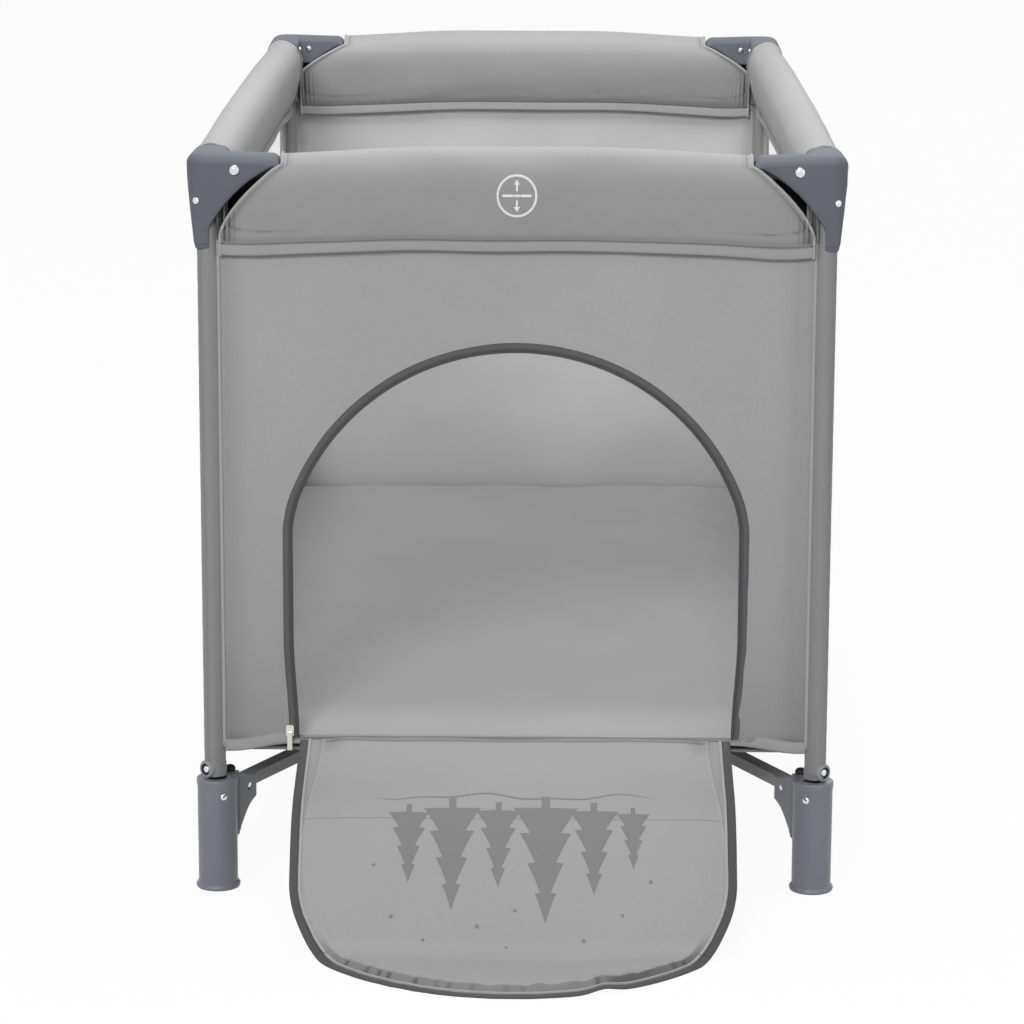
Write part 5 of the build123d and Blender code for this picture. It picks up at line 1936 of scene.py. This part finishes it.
@dataclass
class Bed:
    """Loose mattress and the floor cloth under it, each in four quarters for the base arms."""

    box: tuple[Array, Array] = field(default_factory=lambda: span("mattress"))
    floor_box: tuple[Array, Array] = field(default_factory=lambda: span("floor_sheet"))
    corner_r: float = 0.030
    roll: float = 0.0105
    keep: float = 0.122
    creases: tuple = (  # place, turn, half length, half width and height of each
        (0.23, 0.34, 0.5, 0.10, 0.012, 0.0022), (0.17, 0.22, 0.9, 0.09, 0.014, -0.0018),
        (0.26, 0.05, 0.35, 0.12, 0.013, 0.0020), (0.20, -0.12, 0.7, 0.10, 0.016, 0.0016),
        (-0.22, 0.18, -0.5, 0.12, 0.014, 0.0019), (-0.16, 0.40, -0.9, 0.08, 0.012, -0.0018),
        (-0.24, -0.20, -0.3, 0.13, 0.015, 0.0016), (0.05, -0.50, 1.45, 0.13, 0.012, 0.0014),
        (-0.13, -0.47, 1.75, 0.10, 0.012, -0.0014), (0.02, 0.42, 1.3, 0.16, 0.016, 0.0016),
    )

    def outline(self, corner: Corner, count: int) -> Array:
        """A quarter of a rectangle with a round corner, from the x axis to the y axis.

        Args:
            corner: the quarter's corner.
            count: number of points.

        Returns:
            count x 2 points (x, y).
        """
        (wide, long, _), r = self.box[1], self.corner_r
        runs = np.array([0, long - r, np.pi / 2 * r, wide - r]).cumsum()
        at = np.linspace(0, runs[-1], count)
        turn = np.clip((at - runs[1]) / r, 0, np.pi / 2)
        x = wide - r + r * np.cos(turn) - np.clip(at - runs[2], 0, None)
        return np.stack([x, np.minimum(at, long - r) + r * np.sin(turn)], 1) * corner.sign[:2]

    def swell(self, x: Array, y: Array) -> Array:
        """Soft rise of the top: broad waves, folds that run in from the ends, and creases.

        Args:
            x: place across.
            y: place along.

        Returns:
            The rise.
        """
        wide, long, _ = self.box[1]
        near = long + y
        rise = 0.0016 * ripple(x, y, 0.30, 61) + 0.0006 * ripple(x * 1.6, y, 0.10, 62)
        rise = rise + 0.0022 * bell(wide - np.abs(x), 0.055, 0.030) * ripple(y * 1.2, x * 0.3, 0.14, 63)
        rise = rise + 0.0028 * bell(long - y, 0.03, 0.06) * ripple(x, y * 0.4, 0.16, 64)
        rise = rise - 0.0085 * ease(near, 0.050, 0.0) ** 1.5 + 0.0012 * bell(near, 0.07, 0.03)
        for at_x, at_y, turn, half_long, half_wide, tall in self.creases:
            cos, sin = math.cos(turn), math.sin(turn)
            across, along = (x - at_x) * cos + (y - at_y) * sin, (y - at_y) * cos - (x - at_x) * sin
            rise = rise + tall * bell(across, 0, half_wide) * bell(along, 0, half_long)
        return rise

    def mattress(self, corner: Corner) -> bpy.types.Object:
        """One quarter: rays from the middle, round an upright section from bottom to top.

        The rows run out under it, round its edge by a half turn, and in over it. Each is
        the outline times a share, less roll * (1 - cos of the half turn's angle).

        Args:
            corner: the quarter's corner.

        Returns:
            The piece.
        """
        line = self.outline(corner, 190)
        low, high = self.box[0][2], self.box[1][2]
        middle = (high + low) / 2
        out = np.concatenate([np.linspace(0, 0.93, 14), np.linspace(0.94, 1, 5)[:-1]])
        turn = np.linspace(-np.pi / 2, np.pi / 2, 17)
        back = np.concatenate([1 - np.linspace(0, 0.05, 10)[1:], np.linspace(0.945, 0, 70)])
        share = np.concatenate([out, np.ones(len(turn)), back])
        angle = np.concatenate([np.full(len(out), turn[0]), turn, np.full(len(back), turn[-1])])
        tip = np.linalg.norm(line, axis=1)[:, None]
        pull = self.roll * (1 - np.cos(angle))[:, None, None] / tip
        flat = line * share[:, None, None] * (1 - pull)
        x, y = flat[..., 0], flat[..., 1]
        z = np.broadcast_to((middle + (high - low) / 2 * np.sin(angle))[:, None], x.shape)
        edge = 1 - np.linalg.norm(flat, axis=-1) / tip.ravel()
        z = z + ease(z, middle, high) * (self.swell(x, y) - 0.0012 * bell(edge, 0.02, 0.02))
        seam = 0.20 * bell(z, middle, 0.0012) * (edge < 0.01)
        # Painted light: paler near the front edge. A darker line runs along the side seam.
        tint = 1 - seam + 0.24 * ease(self.box[1][1] + y, 0.10, 0.02)
        points = np.stack([x, y, z], -1)
        half = len(out) + len(turn) // 2
        patches = [
            Patch(points[rows], uv=flat[rows], tint=tint[rows], facing=way)
            for rows, way in ((slice(half, None), Z), (slice(half + 1), -Z))
        ]
        name = f"mattress_{corner.tag}"
        return make_piece(name, patches, [Finish.MATTRESS], f"base_{corner.tag}")

    def floor(self, corner: Corner) -> bpy.types.Object:
        """One quarter of the floor cloth, a flat grid.

        Args:
            corner: the quarter's corner.

        Returns:
            The piece.
        """
        wide, long, top = self.floor_box[1]
        u, v = np.meshgrid(np.linspace(0, 1, 40), np.linspace(0, 1, 60))
        flat = np.stack([wide * u, long * v], -1) * corner.sign[:2]
        points = np.concatenate([flat, np.full((*u.shape, 1), top - 0.0004)], -1)
        patch = Patch(points, uv=flat, facing=Z)
        name = f"floor_cloth_{corner.tag}"
        return make_piece(name, [patch], [Finish.FLOOR_CLOTH], f"base_{corner.tag}")

    def build(self) -> None:
        """Makes the quarters, each with its own mesh, and hides the CAD mattress and floor sheet."""
        for corner in CORNERS:
            pad, cloth = self.mattress(corner), self.floor(corner)
            solidify(cloth, 0.0011)
            for piece in (pad, cloth):
                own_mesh(piece)
            if corner.tag == "fl":
                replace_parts(pad, "mattress")
                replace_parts(cloth, "floor_sheet")


CARRIED = {
    "base_tube": Finish.BASE,
    "hub_body": Finish.LATCH,
    "hub_cap": Finish.LATCH,
    "hub_pins": Finish.CHROME,
    "rail": Finish.RAIL,
    "latch": Finish.LATCH,
    "button": Finish.BUTTON,
    "zip_slider": Finish.ZINC,
    "zip_pull": Finish.ZINC,
}


def dress_frame() -> None:
    """Gives every shown CAD node its finish."""
    for name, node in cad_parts.items():
        for stem, finish in CARRIED.items():
            if name.startswith(stem):
                node.data.materials.clear()
                node.data.materials.append(finish.material())
                log.info("%s: %s", name, finish.value.name)


@dataclass
class Studio:
    """Pale floor, white surroundings, soft lamps and the camera."""

    ambient: float = 0.30
    floor_tone: tuple = (0.66, 0.66, 0.66, 1)
    floor_half: float = 40.0
    glow: float = 1.045
    glow_share: float = 0.90
    eye: tuple[float, float, float] = (0.0295, -4.383, 1.2504)
    yaw: float = math.radians(-0.507)
    pitch: float = math.radians(12.668)
    roll: float = math.radians(0.2)
    lens: float = 133.9
    lamps: tuple = (  # name, place, aim, side and watts
        ("key", (-2.2, -8.5, 5.0), (0, 0, 0.4), 2.6, 370),
        ("over", (0.0, -0.25, 2.35), (0, 0.5, 0.4), 1.0, 23),
        ("side", (3.0, -2.2, 1.6), (0, -0.2, 0.4), 2.2, 8),
        ("rear", (1.6, 7.5, 4.5), (0, 0, 0.4), 2.6, 45),
    )

    def seen(self, graph: Graph) -> bpy.types.NodeSocket:
        """Tells rays that see a thing from rays that light one.

        Args:
            graph: nodes that it is added to.

        Returns:
            Output that is 1 for camera, glossy and transmission rays.
        """
        path = graph.add("LightPath", {}).outputs
        camera, glossy, through = (path[f"Is {ray} Ray"] for ray in ("Camera", "Glossy", "Transmission"))
        return graph.math("MAXIMUM", graph.math("MAXIMUM", camera, glossy), through)

    def world(self) -> None:
        """White surroundings, dimmer as a light than as a background."""
        graph = Graph(bpy.data.worlds.new("studio"))
        shown = graph.tree.nodes["Background"]
        graph.feed(shown, {"Color": WHITE, "Strength": 1.0})
        fill = graph.add("Background", {"Color": WHITE, "Strength": self.ambient})
        mix = graph.add("MixShader", {0: self.seen(graph), 1: fill.outputs[0], 2: shown.outputs[0]})
        graph.feed(graph.tree.nodes["World Output"], {"Surface": mix.outputs[0]})
        bpy.context.scene.world = graph.block

    def floor(self) -> None:
        """Wide pale floor that keeps the pen's shadow."""
        graph = Graph(bpy.data.materials.new("studio_floor"))
        sockets = {"Base Color": self.floor_tone, "Roughness": 0.9, "Specular IOR Level": 0.0}
        graph.feed(graph.shader, sockets)
        glow = graph.add("Emission", {"Strength": self.glow})
        share = graph.math("MULTIPLY", self.seen(graph), self.glow_share)
        mix = graph.add("MixShader", {0: share, 1: graph.shader.outputs[0], 2: glow.outputs[0]})
        graph.feed(graph.tree.nodes["Material Output"], {"Surface": mix.outputs[0]})
        mesh = bpy.data.meshes.new("studio_floor")
        signs = ((-1, -1), (1, -1), (1, 1), (-1, 1))
        corners = [(x * self.floor_half, y * self.floor_half, 0) for x, y in signs]
        mesh.from_pydata(corners, [], [(0, 1, 2, 3)])
        mesh.materials.append(graph.block)
        floor = bpy.data.objects.new("studio_floor", mesh)
        bpy.context.scene.collection.objects.link(floor)

    def light(self) -> None:
        """Hangs the soft square lamps."""
        for name, place, aim, size, power in self.lamps:
            data = bpy.data.lights.new(name, "AREA")
            data.size, data.energy = size, power
            lamp = bpy.data.objects.new(name, data)
            turn = (Vector(aim) - Vector(place)).to_track_quat("-Z", "Y").to_matrix().to_4x4()
            lamp.matrix_world = Matrix.Translation(place) @ turn
            bpy.context.scene.collection.objects.link(lamp)

    def camera(self) -> None:
        """Places the camera from its yaw, pitch and roll."""
        cos, sin = math.cos, math.sin
        ahead = np.array([sin(self.yaw) * cos(self.pitch), cos(self.yaw) * cos(self.pitch), -sin(self.pitch)])
        level = np.array([cos(self.yaw), -sin(self.yaw), 0.0])
        over = np.cross(level, ahead)
        right = level * cos(self.roll) + over * sin(self.roll)
        up = -level * sin(self.roll) + over * cos(self.roll)
        data = bpy.data.cameras.new("camera")
        data.lens, data.sensor_width = self.lens, 36.0
        camera = bpy.data.objects.new("camera", data)
        camera.matrix_world = Matrix([*np.stack([right, up, -ahead, self.eye], 1).tolist(), [0, 0, 0, 1]])
        bpy.context.scene.collection.objects.link(camera)
        bpy.context.scene.camera = camera

    def build(self) -> None:
        """Sets up the camera, world, floor and lamps."""
        bpy.context.scene.view_settings.view_transform = "Standard"
        self.camera()
        self.world()
        self.floor()
        self.light()


def covers() -> list[RailCover]:
    """The four rail covers, not yet built.

    Returns:
        The front, back, left and right one.
    """
    pivot_x, pivot_y = 0.030, 0.08519
    return [
        RailCover("front", X, -Y, STANCE.leg_x, pivot_x, ("front_l", "front_r"), 101),
        RailCover("back", X, Y, STANCE.leg_x, pivot_x, ("back_l", "back_r"), 201),
        RailCover("left", Y, -X, STANCE.leg_y, pivot_y, ("left_f", "left_b"), 301, 0.66),
        RailCover("right", Y, X, STANCE.leg_y, pivot_y, ("right_f", "right_b"), 401, 0.66),
    ]


def main() -> None:
    """Builds the studio and the pen's pieces in order."""
    Studio().build()
    dress_frame()
    made = covers()
    parts = [Legs(), MouldedParts(), Fasteners(), *made, Label(made[0]), Walls(), ZipTape(), Flap(), Bed()]
    for part in parts:
        part.build()
    bpy.context.view_layer.update()


if __name__ == "__main__":
    main()
